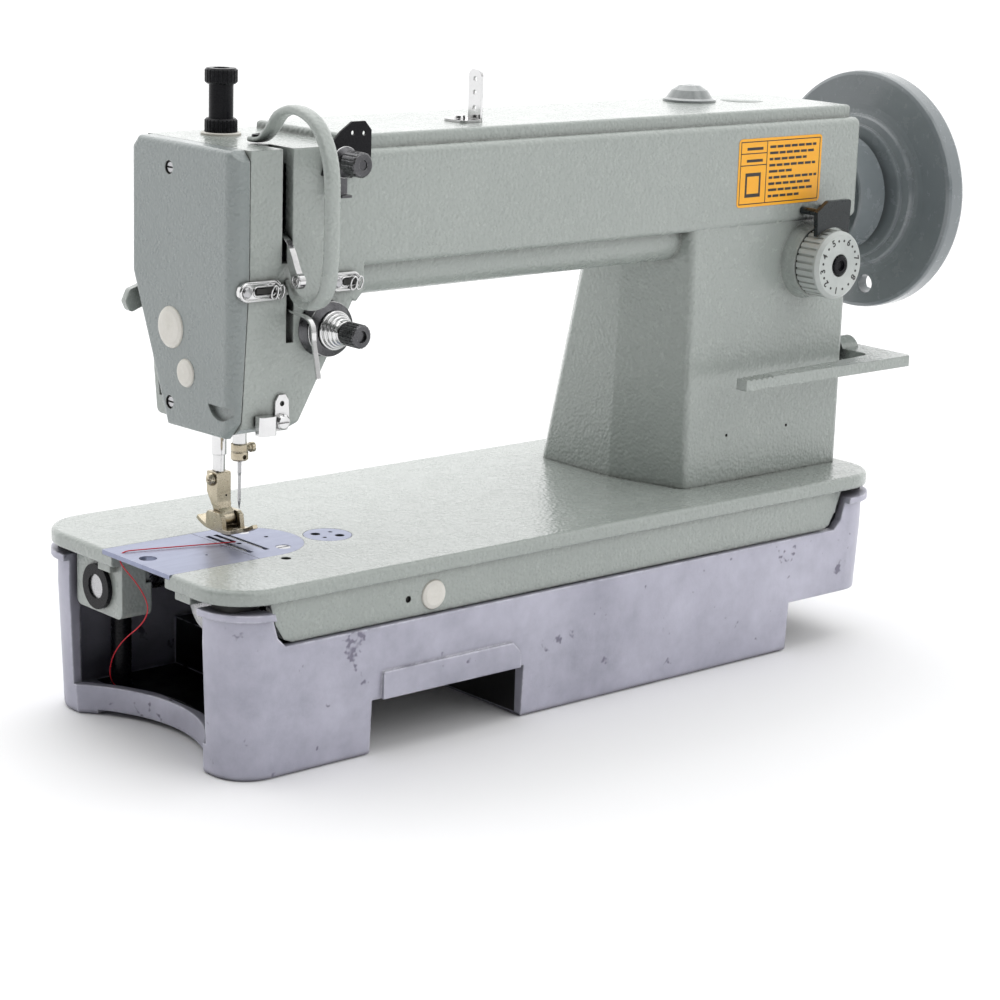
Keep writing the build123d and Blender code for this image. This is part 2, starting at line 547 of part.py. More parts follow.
def tension_discs():
    x, z = TENSION_X, TENSION_Z
    main = disc_pair(13.5, 25.0, 3.05, x, z)
    base = turned_y([(28.2, 3.05), (28.2, 12.0), (SEAT, 14.5), (SEAT, 3.05)], x, z)
    x, z = PRETENSION_X, PRETENSION_Z
    small = disc_pair(7.5, 23.0, 2.55, x, z)
    collar = turned_y([(26.2, 2.55), (26.2, 6.0), (ARM_FRONT - 1.5, 6.0), (ARM_FRONT - 1.5, 2.55)], x, z)
    tab = box(x - 4, x + 4, 26.2, 27.4, z - 16, z - 5) + box(x - 3, x + 3, 21, 27.4, z - 17.2, z - 16)
    return group(main + [base] + small + [collar + tab])


def tension_studs():
    main = rod_y(3.0, 1.5, ARM_FRONT + 6, TENSION_X, TENSION_Z)
    small = rod_y(2.5, 9.5, ARM_FRONT + 6, PRETENSION_X, PRETENSION_Z)
    return group([main, small])


def cone_spring(y_small, y_large, r_small, r_large, wire, turns, x, z):
    """A conical coil, drawn as touching rings on a thin cone."""
    rings = turned_y([(y_small, r_small - wire), (y_large, r_large - wire), (y_large, r_large),
                      (y_small, r_small)], x, z)
    step = (y_large - y_small - 2 * wire) / (turns - 1)
    for i in range(turns):
        y = y_small + wire + i * step
        radius = r_small + (r_large - r_small) * i / (turns - 1) - wire / 2
        ring = Pos(x, y, z) * Rot(90, 0, 0) * Torus(radius, wire)
        rings += ring
    return rings


def tension_spring():
    return cone_spring(12.2, 21.6, 5.5, 9.5, 0.8, 5, TENSION_X, TENSION_Z)


def knurled(radius, y0, y1, bore, x, z, count):
    """A round nut with a grooved grip."""
    nut = turned_y([(y0, bore), (y0, radius - 0.8), (y0 + 0.8, radius), (y1 - 0.8, radius), (y1, radius - 0.8),
                    (y1, bore)], x, z)
    for i in range(count):
        angle = 2 * math.pi * i / count
        nut -= rod_y(0.45, y0 - 1, y1 + 1, x + radius * math.cos(angle), z + radius * math.sin(angle))
    return nut


def tension_nut():
    return knurled(6.0, 0.0, 11.6, 3.0 + RUN, TENSION_X, TENSION_Z, 20)


def pretension_nut():
    return knurled(6.2, 9.0, 19.8, 2.5 + RUN, PRETENSION_X, PRETENSION_Z, 16)


def check_spring():
    line = [(41, 130.5), (34, 129.6), (24, 128.2), (17, 127.2), (13.5, 124), (12.5, 118), (10.5, 108), (8.5, 99)]
    arm = strip_yz(line, 1.0, CHECK_LEFT, CHECK_RIGHT)
    return arm + rod_x(0.95, CHECK_LEFT, CHECK_RIGHT, *CHECK_PIVOT)


# ------------------------------------------------------------------ bushings and shafts
def sleeve_x(outer, bore, x0, x1, y, z):
    return rod_x(outer, x0, x1, y, z) - rod_x(bore, x0 - 1, x1 + 1, y, z)


def sleeve_z(outer, bore, z0, z1, x, y):
    return rod_z(outer, z0, z1, x, y) - rod_z(bore, z0 - 1, z1 + 1, x, y)


def shaft_bushings():
    sleeves = [sleeve_x(13.0, SHAFT_R + RUN, x0, x1, SHAFT_Y, SHAFT_Z)
               for x0, x1 in ((85.0, 106.0), (299.0, 315.0), (458.0, 474.0))]
    sleeves += [sleeve_x(10.0, LOWER_R + RUN, x0, x1, SHAFT_Y, LOWER_Z)
                for x0, x1 in ((96.0, 106.0), (330.0, 340.0))]
    return group(sleeves)


def bar_bushings():
    needle_low = sleeve_z(6.0, 3.6 + RUN, HEAD_BOTTOM - 1.5, 80, NEEDLE_X, NEEDLE_Y)
    needle_high = sleeve_z(6.0, 3.6 + RUN, 152, 162, NEEDLE_X, NEEDLE_Y)
    presser = sleeve_z(5.4, 4.0 + RUN, HEAD_BOTTOM - 1, 80, NEEDLE_X, PRESSER_Y)
    presser += sleeve_z(6.2, 4.0 + RUN, HEAD_BOTTOM - 6, HEAD_BOTTOM, NEEDLE_X, PRESSER_Y)
    pivot = rod_x(2.5, 52, 69.4, *TAKE_UP_PIVOT)
    return group([needle_low, needle_high, presser, pivot])


def rock_shaft_bush():
    sleeve = sleeve_x(10.5, 6.5 + RUN, 5.5, 26, ROCK_Y, ROCK_Z)
    return sleeve + sleeve_x(12.0, 9.0, 5.5, 7.9, ROCK_Y, ROCK_Z)


def main_shaft():
    end = WHEEL_BACK - 4
    shaft = rod_x(SHAFT_R, 84, end, SHAFT_Y, SHAFT_Z)
    head = turned_x([(end, 0), (end, 9), (WHEEL_BACK + 3, 9), (WHEEL_BACK + 4, 8), (WHEEL_BACK + 4, 0)],
                    SHAFT_Y, SHAFT_Z)
    return shaft + head - box(WHEEL_BACK + 2.5, WHEEL_BACK + 6, 70, 90, SHAFT_Z - 0.8, SHAFT_Z + 0.8)


def handwheel():
    face, back = WHEEL_FACE, WHEEL_BACK
    hub, bore = 476.0, SHAFT_R
    profile = [(hub, bore), (hub, 18), (488, 18), (488, 35), (489, 36), (510, 36), (511, 35), (514, 28),
               (515.5, 28), (517, 40), (517.5, 41), (520, 41), (521.5, 45), (523, 46), (524.5, 46.5),
               (face - 0.5, 49), (face, 52), (face, WHEEL_R - 2.5), (face + 1.2, WHEEL_R - 0.6),
               (face + 3, WHEEL_R), (back - 2, WHEEL_R), (back - 0.6, WHEEL_R - 0.6), (back, WHEEL_R - 2),
               (back, WHEEL_R - 9), (back - 6, WHEEL_R - 12), (back - 7, 30), (back - 2, 24), (back - 2, 16),
               (back - 4, 12), (back - 4, bore)]
    hole = math.radians(-101.0)
    wheel = turned_x(profile, SHAFT_Y, SHAFT_Z)
    return wheel - rod_x(5.6, 500, 560, SHAFT_Y + 57.5 * math.cos(hole), SHAFT_Z + 57.5 * math.sin(hole))


def flanged_pulley(radius, bore, hub_r, z):
    """A belt pulley with two flanges and a hub."""
    half, rim = BELT_WIDTH / 2 + 0.8, 2.0
    x = BELT_X
    profile = [(x - half - rim, bore), (x - half - rim, radius + 4.6), (x - half, radius + 4.6), (x - half, radius),
               (x + half, radius), (x + half, radius + 4.6), (x + half + rim, radius + 4.6),
               (x + half + rim, hub_r), (x + half + rim + 7, hub_r), (x + half + rim + 7, bore)]
    return turned_x(profile, SHAFT_Y, z)


def timing_belt():
    slack = 0.4
    loops = []
    for extra in (slack + BELT_THICK, slack):
        top, low = UPPER_PULLEY_R + extra, LOWER_PULLEY_R + extra
        rise = SHAFT_Z - LOWER_Z
        lean = math.asin((top - low) / rise)
        side, drop = math.cos(lean), math.sin(lean)
        points = [(SHAFT_Y + sign * r * side, z - r * drop)
                  for sign, r, z in ((1, low, LOWER_Z), (1, top, SHAFT_Z), (-1, top, SHAFT_Z),
                                     (-1, low, LOWER_Z))]
        body = prism_yz(points, BELT_X - BELT_WIDTH / 2, BELT_X + BELT_WIDTH / 2)
        for r, z in ((top, SHAFT_Z), (low, LOWER_Z)):
            body += rod_x(r, BELT_X - BELT_WIDTH / 2, BELT_X + BELT_WIDTH / 2, SHAFT_Y, z)
        loops.append(body)
    return loops[0] - loops[1]


def counterweight_crank():
    web = rod_x(23.0, 75.4, 83.6, SHAFT_Y, SHAFT_Z)
    web -= box(70, 90, SHAFT_Y - 30, SHAFT_Y - 11, SHAFT_Z, SHAFT_Z + 30)
    web -= box(70, 90, SHAFT_Y + 11, SHAFT_Y + 30, SHAFT_Z, SHAFT_Z + 30)
    pin = rod_x(5.0, 69.6, 76, SHAFT_Y, SHAFT_Z + CRANK_RADIUS)
    return web + pin


LINK_LENGTH = 38.0


def needle_bar_link():
    top, low = SHAFT_Z + CRANK_RADIUS, SHAFT_Z + CRANK_RADIUS - LINK_LENGTH
    x0, x1 = 70.0, 75.0
    link = rod_x(8.5, x0, x1, NEEDLE_Y, top) + rod_x(6.5, x0, x1, NEEDLE_Y, low)
    link += box(x0 + 1, x1 - 1, NEEDLE_Y - 4, NEEDLE_Y + 4, low, top)
    link -= rod_x(5.0 + RUN, x0 - 1, x1 + 1, NEEDLE_Y, top)
    return link - rod_x(3.6, x0 - 1, x1 + 1, NEEDLE_Y, low)


def needle_bar():
    return rod_z(3.6, CLAMP_BOTTOM + 4, 200, NEEDLE_X, NEEDLE_Y)


def needle_bar_connector():
    low = SHAFT_Z + CRANK_RADIUS - LINK_LENGTH
    block = rounded_slab(57, 69.3, 73, 87, low - 6.5, low + 6.5, 3)
    return block - rod_z(3.6, low - 10, low + 10, NEEDLE_X, NEEDLE_Y)


def needle_clamp():
    low, top = CLAMP_BOTTOM, CLAMP_TOP
    clamp = turned_z([(low, 0), (low, 3.6), (low + 0.8, 4.5), (low + 4.4, 4.5), (low + 4.6, 4.2), (low + 5.0, 4.2),
                      (low + 5.2, 4.5), (top - 0.5, 4.5), (top, 4.0), (top, 0)], NEEDLE_X, NEEDLE_Y)
    clamp -= rod_z(3.6, low + 4, top + 1, NEEDLE_X, NEEDLE_Y)
    clamp -= rod_z(1.0, low - 1, low + 5, NEEDLE_X, NEEDLE_Y)
    clamp -= rod_y(1.2, NEEDLE_Y - 6, NEEDLE_Y - 2.5, NEEDLE_X, low + 2.2)
    return clamp - rod_x(1.5, NEEDLE_X + 3, NEEDLE_X + 8, NEEDLE_Y, low + 6)


def needle_screw():
    z, x = CLAMP_BOTTOM + 6, NEEDLE_X
    profile = [(x + 3.65, 0), (x + 3.65, 1.5), (x + 4.8, 1.5), (x + 5.2, 1.9), (x + 6.2, 1.9), (x + 6.6, 2.6),
               (x + 8.6, 2.6), (x + 9.0, 2.2), (x + 9.0, 0)]
    return turned_x(profile, NEEDLE_Y, z) - box(x + 8.2, x + 10, NEEDLE_Y - 4, NEEDLE_Y + 4, z - 0.35, z + 0.35)


def needle():
    tip, top = NEEDLE_TIP, CLAMP_BOTTOM + 4
    shape = turned_z([(tip, 0), (tip + 0.4, 0.15), (tip + 4.5, 0.8), (top - 12, 0.8), (top - 10.5, 1.0),
                      (top, 1.0), (top, 0)], NEEDLE_X, NEEDLE_Y)
    return shape - rod_y(0.3, NEEDLE_Y - 3, NEEDLE_Y + 3, NEEDLE_X, tip + 5.2)


def take_up_lever():
    pivot_y, pivot_z = TAKE_UP_PIVOT
    x0, x1 = TAKE_UP_X - 1.7, TAKE_UP_X + 1.7
    line = [(pivot_y, pivot_z), (70, 170.0), (48, 167.0), (36, 163.8), (30, 158.5), (26.5, 152), (23.6, 147)]
    lever = strip_yz(line, 5.0, x0, x1)
    lever += rod_x(6.5, x0, x1, pivot_y, pivot_z) + rod_x(3.8, x0, x1, 22.6, 145.0)
    lever -= rod_x(2.5 + RUN, x0 - 1, x1 + 1, pivot_y, pivot_z)
    return lever - rod_x(1.5, x0 - 1, x1 + 1, 22.6, 145.0)


# ------------------------------------------------------------------ presser foot group
def presser_bar():
    bar = rod_z(4.0, 44, 199, NEEDLE_X, PRESSER_Y) + rod_z(3.3, 26, 45, NEEDLE_X, PRESSER_Y)
    bar += rod_z(5.2, 168, 172, NEEDLE_X, PRESSER_Y)
    return bar - box(NEEDLE_X - 5, NEEDLE_X - 2.9, 90, 106, 20, 44)


def presser_bracket():
    block = rounded_slab(57, 69.4, 90.5, 105, 118, 130, 3)
    return block - rod_z(4.0, 110, 140, NEEDLE_X, PRESSER_Y)


def presser_spring():
    coil = Helix(pitch=4.0, height=22.0, radius=4.75)
    wire = sweep(Plane(origin=coil @ 0, z_dir=coil % 0) * Circle(0.55), path=coil)
    return Pos(NEEDLE_X, PRESSER_Y, 173.2) * wire


def grip(radius, bore, z0, z1, count):
    """A knurled ring on the presser bar's line."""
    ring = turned_z([(z0, bore), (z0, radius - 1), (z0 + 1, radius), (z1 - 1, radius), (z1, radius - 1), (z1, bore)],
                    NEEDLE_X, PRESSER_Y)
    for i in range(count):
        angle = 2 * math.pi * i / count
        ring -= rod_z(0.45, z0 - 1, z1 + 1, NEEDLE_X + radius * math.cos(angle),
                      PRESSER_Y + radius * math.sin(angle))
    return ring


def pressure_screw():
    neck = turned_z([(201, 4.2), (201, 6.2), (234, 6.2), (234, 4.2)], NEEDLE_X, PRESSER_Y)
    cap = grip(8.3, 0, 233.2, 241, 24)
    return neck + cap - rod_z(4.2, 238.5, 245, NEEDLE_X, PRESSER_Y)


def pressure_lock_nut():
    return grip(8.3, 6.2 + RUN, HEAD_TOP + 0.2, HEAD_TOP + 8.2, 24)


def presser_foot_shank():
    x0, x1 = NEEDLE_X - 4.3, NEEDLE_X + 4.3
    side = [(93.4, 35), (102.6, 35), (102.6, 24), (98.8, 18.5), (96.4, 14), (94.6, 10), (90, 12), (89.6, 14.6),
            (92.4, 16.4), (93.4, 19.5)]
    shank = prism_yz(side, x0, x1)
    shank = fillet(shank.edges().filter_by(Axis.X).group_by(Axis.Z)[-1], 1.2)
    shank -= box(x0 - 1, NEEDLE_X - 4.0, 80, 110, 0, 17.6) + box(NEEDLE_X + 4.0, x1 + 1, 80, 110, 0, 17.6)
    shank += rod_x(3.7, NEEDLE_X - 4.0, NEEDLE_X + 4.0, PIN_Y, PIN_Z)
    shank -= rod_z(3.3, 26, 40, NEEDLE_X, PRESSER_Y)
    shank -= rod_x(1.5 + RUN, x0 - 1, x1 + 1, PIN_Y, PIN_Z)
    shank -= rod_x(2.0, x0 - 1, NEEDLE_X - 2, PRESSER_Y, 31)
    return shank - rod_y(0.6, 92, 95, NEEDLE_X + 1.5, 22.5)


def presser_foot_screw():
    x = NEEDLE_X - 4.3
    profile = [(x - 3.0, 0), (x - 2.8, 1.5), (x - 2.0, 2.8), (x - 0.6, 3.4), (x, 3.4), (x, 2.0), (x + 1.3, 2.0),
               (x + 1.3, 0)]
    return turned_x(profile, PRESSER_Y, 31) - box(x - 4, x - 1.9, PRESSER_Y - 4, PRESSER_Y + 4, 30.5, 31.5)


def presser_foot_pin():
    return rod_x(1.5, NEEDLE_X - 7.0, NEEDLE_X + 7.0, PIN_Y, PIN_Z)


def presser_foot_sole():
    low = SOLE_BOTTOM
    line = [(107.5, low + 4.6), (103.5, low + 2.6), (98, low + 1.2), (92, low + 1), (84, low + 1), (78, low + 1.8),
            (74, low + 3.4), (70.5, low + 5.2)]
    half = 7.0
    sole = strip_yz(line, 2.0, NEEDLE_X - half, NEEDLE_X + half)
    cheek = [(84.6, low + 1), (85.8, low + 8.2), (88.2, low + 9.8), (97.6, low + 9.8), (99.2, low + 8.4),
             (99.6, low + 1)]
    for x0 in (NEEDLE_X - half, NEEDLE_X + 4.4):
        sole += prism_yz(cheek, x0, x0 + 2.6)
    sole -= box(NEEDLE_X - 1.8, NEEDLE_X + 1.8, 60, 83.5, 0, 30)
    sole -= box(NEEDLE_X - 20, NEEDLE_X - 1, 60, 73.6, 0, 30)
    plan = [(NEEDLE_X - 3.4, 60), (NEEDLE_X - half - 1, 60), (NEEDLE_X - half - 1, 79), (NEEDLE_X - 5.2, 75)]
    mirror = [(2 * NEEDLE_X - x, y) for x, y in plan]
    sole -= prism_xy(plan, 0, 30) + prism_xy(mirror, 0, 30)
    return sole - rod_x(1.5 + RUN, NEEDLE_X - 10, NEEDLE_X + 10, PIN_Y, PIN_Z)


LIFTER_X, LIFTER_Z = 72.0, 128.0


def lifter_lever():
    shaft = rod_y(4.5, 105.6, 128, LIFTER_X, LIFTER_Z)
    hub = rod_y(8.0, ARM_BACK + 3, 128, LIFTER_X, LIFTER_Z)
    outline = [(LIFTER_X + 2, LIFTER_Z + 7.5), (LIFTER_X - 30, LIFTER_Z + 6), (LIFTER_X - 46, LIFTER_Z + 1),
               (LIFTER_X - 49, LIFTER_Z - 5), (LIFTER_X - 46, LIFTER_Z - 11), (LIFTER_X - 30, LIFTER_Z - 5),
               (LIFTER_X + 2, LIFTER_Z - 7.5)]
    blade = prism_xz(outline, ARM_BACK + 4, 127)
    blade = fillet(blade.edges().filter_by(Axis.Y).sort_by(Axis.X)[:4], 2.5)
    return shaft + hub + blade


# ------------------------------------------------------------------ right-hand controls
def stitch_dial():
    face, back = DIAL_FACE, DIAL_BACK
    profile = [(face, 6.5), (face, DIAL_R - 2), (face + 2, DIAL_R), (back, DIAL_R), (back, 16), (back - 2, 16),
               (back - 2, 5.0 + RUN), (face + 3.4, 5.0 + RUN), (face + 3.4, 6.5)]
    dial = turned_y(profile, DIAL_X, DIAL_Z)
    count = 30
    for i in range(count):
        angle = 2 * math.pi * (i + 0.5) / count
        x, z = DIAL_X + DIAL_R * math.cos(angle), DIAL_Z + DIAL_R * math.sin(angle)
        dial -= rod_y(0.7, face + 3.5, back + 1, x, z)
    return dial


def push_plate():
    front, top = 14.5, 161.0
    outline = [(DIAL_X - 13, 139), (DIAL_X + 13, 139), (DIAL_X + 14, top), (DIAL_X - 5, top), (DIAL_X - 14, top - 6)]
    plate = prism_xz(outline, front, front + 3)
    plate = fillet(plate.edges().filter_by(Axis.Y).group_by(Axis.Z)[-1], 2.0)
    plate -= rod_y(DIAL_R + 1.6, front - 1, front + 4, DIAL_X, DIAL_Z)
    for x in (DIAL_X - 8, DIAL_X + 8):
        plate += rod_y(2.0, front + 2, ARM_FRONT + 5, x, PUSH_PIN_Z)
    return plate


def reverse_lever():
    y, z = LEVER_PIVOT
    z0, z1 = z - 3.2, z + 3.2
    plan = [(357, 5), (496, 5), (498, 8), (498, y + 6), (478, y + 6), (478, 24), (474, 20), (440, 17), (357, 12.5)]
    lever = prism_xy(plan, z0, z1)
    for i in range(5):
        lever -= rod_y(1.3, 0, 20, 361.0 + 4.2 * i, z1 + 0.5)
    lever += rod_x(9.0, 478, 492, y, z)
    return lever + rod_x(5.0, 455, 480, y, z)


# ------------------------------------------------------------------ lower drive, hook and feed
def lower_shaft():
    return rod_x(LOWER_R, 64, 414, SHAFT_Y, LOWER_Z)


def rotary_hook():
    cup = turned_x([(44, 14.3), (57.6, 14.3), (57.6, 0), (62, 0), (62, HOOK_R - 1), (61, HOOK_R), (45, HOOK_R),
                    (44, HOOK_R - 1)], SHAFT_Y, LOWER_Z)
    boss = turned_x([(61, 0), (61, 10), (80, 10), (80, LOWER_R), (64, LOWER_R), (64, 0)], SHAFT_Y, LOWER_Z)
    hook = cup + boss
    hook -= box(43, 52, SHAFT_Y + 4, SHAFT_Y + 20, LOWER_Z + 2, LOWER_Z + 20)
    return hook - rod_z(1.8, LOWER_Z + 5, LOWER_Z + 12, 72.0, SHAFT_Y)


def bobbin_case():
    profile = [(42.6, 0), (42.6, 12.9), (43.4, 13.8), (57, 13.8), (57, 12.8), (44, 12.8), (44, 3.0), (56, 3.0),
               (56, 0)]
    case = turned_x(profile, SHAFT_Y, LOWER_Z)
    latch = box(41.4, 43, SHAFT_Y - 8, SHAFT_Y + 4, LOWER_Z - 2.5, LOWER_Z + 2.5)
    return case + latch - box(48, 54, SHAFT_Y - 20, SHAFT_Y - 10, LOWER_Z - 4, LOWER_Z + 4)


def bobbin():
    profile = [(44.6, 3.0 + RUN), (44.6, 12.3), (45.6, 12.3), (45.6, 5), (54.8, 5), (54.8, 12.3), (55.8, 12.3),
               (55.8, 3.0 + RUN)]
    return turned_x(profile, SHAFT_Y, LOWER_Z)


FEED_TOP, FEED_BASE = -0.4, -5.0


def feed_dog():
    dog = box(NEEDLE_X - 6.2, NEEDLE_X + 6.2, 67, 96.4, FEED_BASE, -3.2)
    width, pitch = 2.1, 1.6
    for offset in ROW_OFFSETS:
        start = 67.0 if offset else NEEDLE_Y + 8.6
        x = NEEDLE_X + offset
        dog += box(x - width / 2, x + width / 2, start, 96.4, FEED_BASE, FEED_TOP - 0.8)
        for i in range(int((96.4 - start) / pitch)):
            y = start + pitch * i
            tooth = [(y, FEED_TOP - 0.9), (y + pitch, FEED_TOP - 0.9), (y + pitch * 0.8, FEED_TOP)]
            dog += prism_yz(tooth, x - width / 2, x + width / 2)
    return dog - box(NEEDLE_X - 2.5, NEEDLE_X + 2.5, 74, 86, -9, 0)


def feed_bar():
    bar = box(NEEDLE_X - 6.5, NEEDLE_X + 7.5, 64, 98, -8.5, FEED_BASE)
    bar += box(64, 71, 96, 101, -13, FEED_BASE - 1) + box(64, 71, 100, 118, -13, -9)
    return bar - box(NEEDLE_X - 2.5, NEEDLE_X + 2.5, 74, 86, -9, 0)


def feed_rock_shaft():
    shaft = rod_x(6.5, 6.5, 150, ROCK_Y, ROCK_Z)
    shaft += box(64, 70, 122, 128, ROCK_Z, -9.8) + rod_x(9, 62, 72, ROCK_Y, ROCK_Z)
    return shaft


# ------------------------------------------------------------------ needle thread
def corner_radii(points):
    """The arc at each inner point: 0.45 of the shorter run over the tangent of half the turn."""
    radii = []
    for i in range(1, len(points) - 1):
        a, b, c = (Vector(*points[j]) for j in (i - 1, i, i + 1))
        turn = math.radians((b - a).get_angle(c - b))
        radius = 0.45 * min((b - a).length, (c - b).length) / math.tan(turn / 2)
        radii.append(min(radius, THREAD_BENDS.get(i, radius)))
    return radii


def needle_thread():
    radii = corner_radii(THREAD_ROUTE)
    path = FilletPolyline(*THREAD_ROUTE, radius=radii)
    tube = sweep(Plane(origin=path @ 0, z_dir=path % 0) * Circle(THREAD_DIAMETER / 2), path=path)
    section = math.pi * THREAD_DIAMETER ** 2 / 4
    print("thread radii", [round(r, 1) for r in radii])
    print("thread length", round(path.length, 1), "volume over section x length",
          round(tube.volume / (section * path.length), 4))
    return tube


PARTS = [
    base_pan, pan_cushions, support_post, bed, slide_plate, needle_plate, cover_screws, bed_disc, arm_casting,
    face_plate, white_plugs, take_up_guard, oval_thread_guides, lower_thread_guide, arm_top_thread_guide,
    oil_sight_dome, pretension_plate, tension_discs, tension_studs, tension_spring, tension_nut,
    pretension_nut, check_spring, shaft_bushings, bar_bushings, rock_shaft_bush, main_shaft, handwheel,
    timing_belt, counterweight_crank, needle_bar_link, needle_bar, needle_bar_connector, needle_clamp,
    needle_screw, needle, take_up_lever, presser_bar, presser_bracket, presser_spring, pressure_screw,
    pressure_lock_nut, presser_foot_shank, presser_foot_screw, presser_foot_pin, presser_foot_sole,
    lifter_lever, stitch_dial, push_plate, reverse_lever, lower_shaft, rotary_hook, bobbin_case, bobbin,
    feed_dog, feed_bar, feed_rock_shaft, needle_thread,
]


def build():
    shapes = {make.__name__: make() for make in PARTS}
    shapes["upper_pulley"] = flanged_pulley(UPPER_PULLEY_R, SHAFT_R, 14.0, SHAFT_Z)
    shapes["lower_pulley"] = flanged_pulley(LOWER_PULLEY_R, LOWER_R, 10.0, LOWER_Z)
    return shapes


def origin_of(shapes):
    """The middle of the underside of the object without its thread."""
    boxes = [shape.bounding_box() for name, shape in shapes.items() if name != "needle_thread"]
    x = (min(b.min.X for b in boxes) + max(b.max.X for b in boxes)) / 2
    y = (min(b.min.Y for b in boxes) + max(b.max.Y for b in boxes)) / 2
    return x, y, min(b.min.Z for b in boxes)


def main():
    os.makedirs("parts", exist_ok=True)
    shapes = build()
    x, y, z = origin_of(shapes)
    print("origin in the working frame", round(x, 3), round(y, 3), round(z, 3))
    for name, shape in shapes.items():
        export_step(Pos(-x, -y, -z) * shape, "parts/" + name + ".step")


if __name__ == "__main__":
    main()
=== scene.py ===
import json
import math

import bpy
import bmesh
from mathutils import Matrix, Vector


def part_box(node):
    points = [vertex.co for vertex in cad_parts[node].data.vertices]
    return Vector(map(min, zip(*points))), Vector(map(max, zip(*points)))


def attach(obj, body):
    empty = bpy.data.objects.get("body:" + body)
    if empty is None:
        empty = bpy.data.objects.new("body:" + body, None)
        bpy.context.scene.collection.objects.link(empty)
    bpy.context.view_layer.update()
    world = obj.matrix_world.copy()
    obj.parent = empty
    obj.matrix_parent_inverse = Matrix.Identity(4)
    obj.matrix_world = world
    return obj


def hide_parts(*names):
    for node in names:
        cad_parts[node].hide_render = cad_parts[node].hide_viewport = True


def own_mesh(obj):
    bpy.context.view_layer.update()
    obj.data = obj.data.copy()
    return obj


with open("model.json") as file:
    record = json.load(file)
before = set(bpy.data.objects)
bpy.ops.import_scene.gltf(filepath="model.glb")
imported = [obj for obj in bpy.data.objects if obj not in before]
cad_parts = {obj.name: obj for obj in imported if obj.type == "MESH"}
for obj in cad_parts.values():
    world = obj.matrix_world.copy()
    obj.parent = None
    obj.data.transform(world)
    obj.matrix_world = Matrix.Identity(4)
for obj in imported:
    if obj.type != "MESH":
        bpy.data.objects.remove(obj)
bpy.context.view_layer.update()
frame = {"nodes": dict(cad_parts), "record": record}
MM = 0.001
BED_LOW, BED_HIGH = (Vector(corner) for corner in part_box("bed"))

# Driving places, in millimetres of the working frame that at() describes.
FLOOR_BELOW_BED = 99.0
FRONT_FACE = 32.0
ARM_TOP, HEAD_TOP = 212.0, 208.0
NEEDLE_X, PRESSER_Y = 63.5, 98.0
TAKE_UP_X = 56.2
TAKE_UP_EYE = (22.6, 145.0)
TENSION_X, TENSION_Z = 78.0, 119.0
PRETENSION_X, PRETENSION_Z = 84.0, 201.0
DIAL_AT = (432.5, 8.0, 124.5)
MIDDLE = (250.0, 90.0, 60.0)


def at(x, y, z):
    """A point of the part's working frame, in millimetres: bed's left end, front edge and top face."""
    return Vector((BED_LOW.x + x * MM, BED_LOW.y + y * MM, BED_HIGH.z + z * MM))


# ------------------------------------------------------------------ camera
CAMERA_AT = (-723.7, -1005.6, 357.6)
CAMERA_AZIMUTH, CAMERA_ELEVATION, CAMERA_ROLL = -41.66, 13.90, 1.83
CAMERA_LENS, CAMERA_SENSOR = 96.7, 36.0


def make_camera():
    azimuth, elevation, roll = (math.radians(a) for a in (CAMERA_AZIMUTH, CAMERA_ELEVATION, CAMERA_ROLL))
    back = Vector((math.sin(azimuth) * math.cos(elevation), -math.cos(azimuth) * math.cos(elevation),
                   math.sin(elevation)))
    right = Vector((math.cos(azimuth), math.sin(azimuth), 0))
    up = back.cross(right)
    turned_right = right * math.cos(roll) + up * math.sin(roll)
    turned_up = up * math.cos(roll) - right * math.sin(roll)
    data = bpy.data.cameras.new("camera")
    data.lens, data.sensor_width = CAMERA_LENS, CAMERA_SENSOR
    data.clip_start, data.clip_end = 0.05, 50
    camera = bpy.data.objects.new("camera", data)
    turn = Matrix((turned_right, turned_up, back)).transposed().to_4x4()
    camera.matrix_world = Matrix.Translation(at(*CAMERA_AT)) @ turn
    bpy.context.scene.collection.objects.link(camera)
    bpy.context.scene.camera = camera


make_camera()


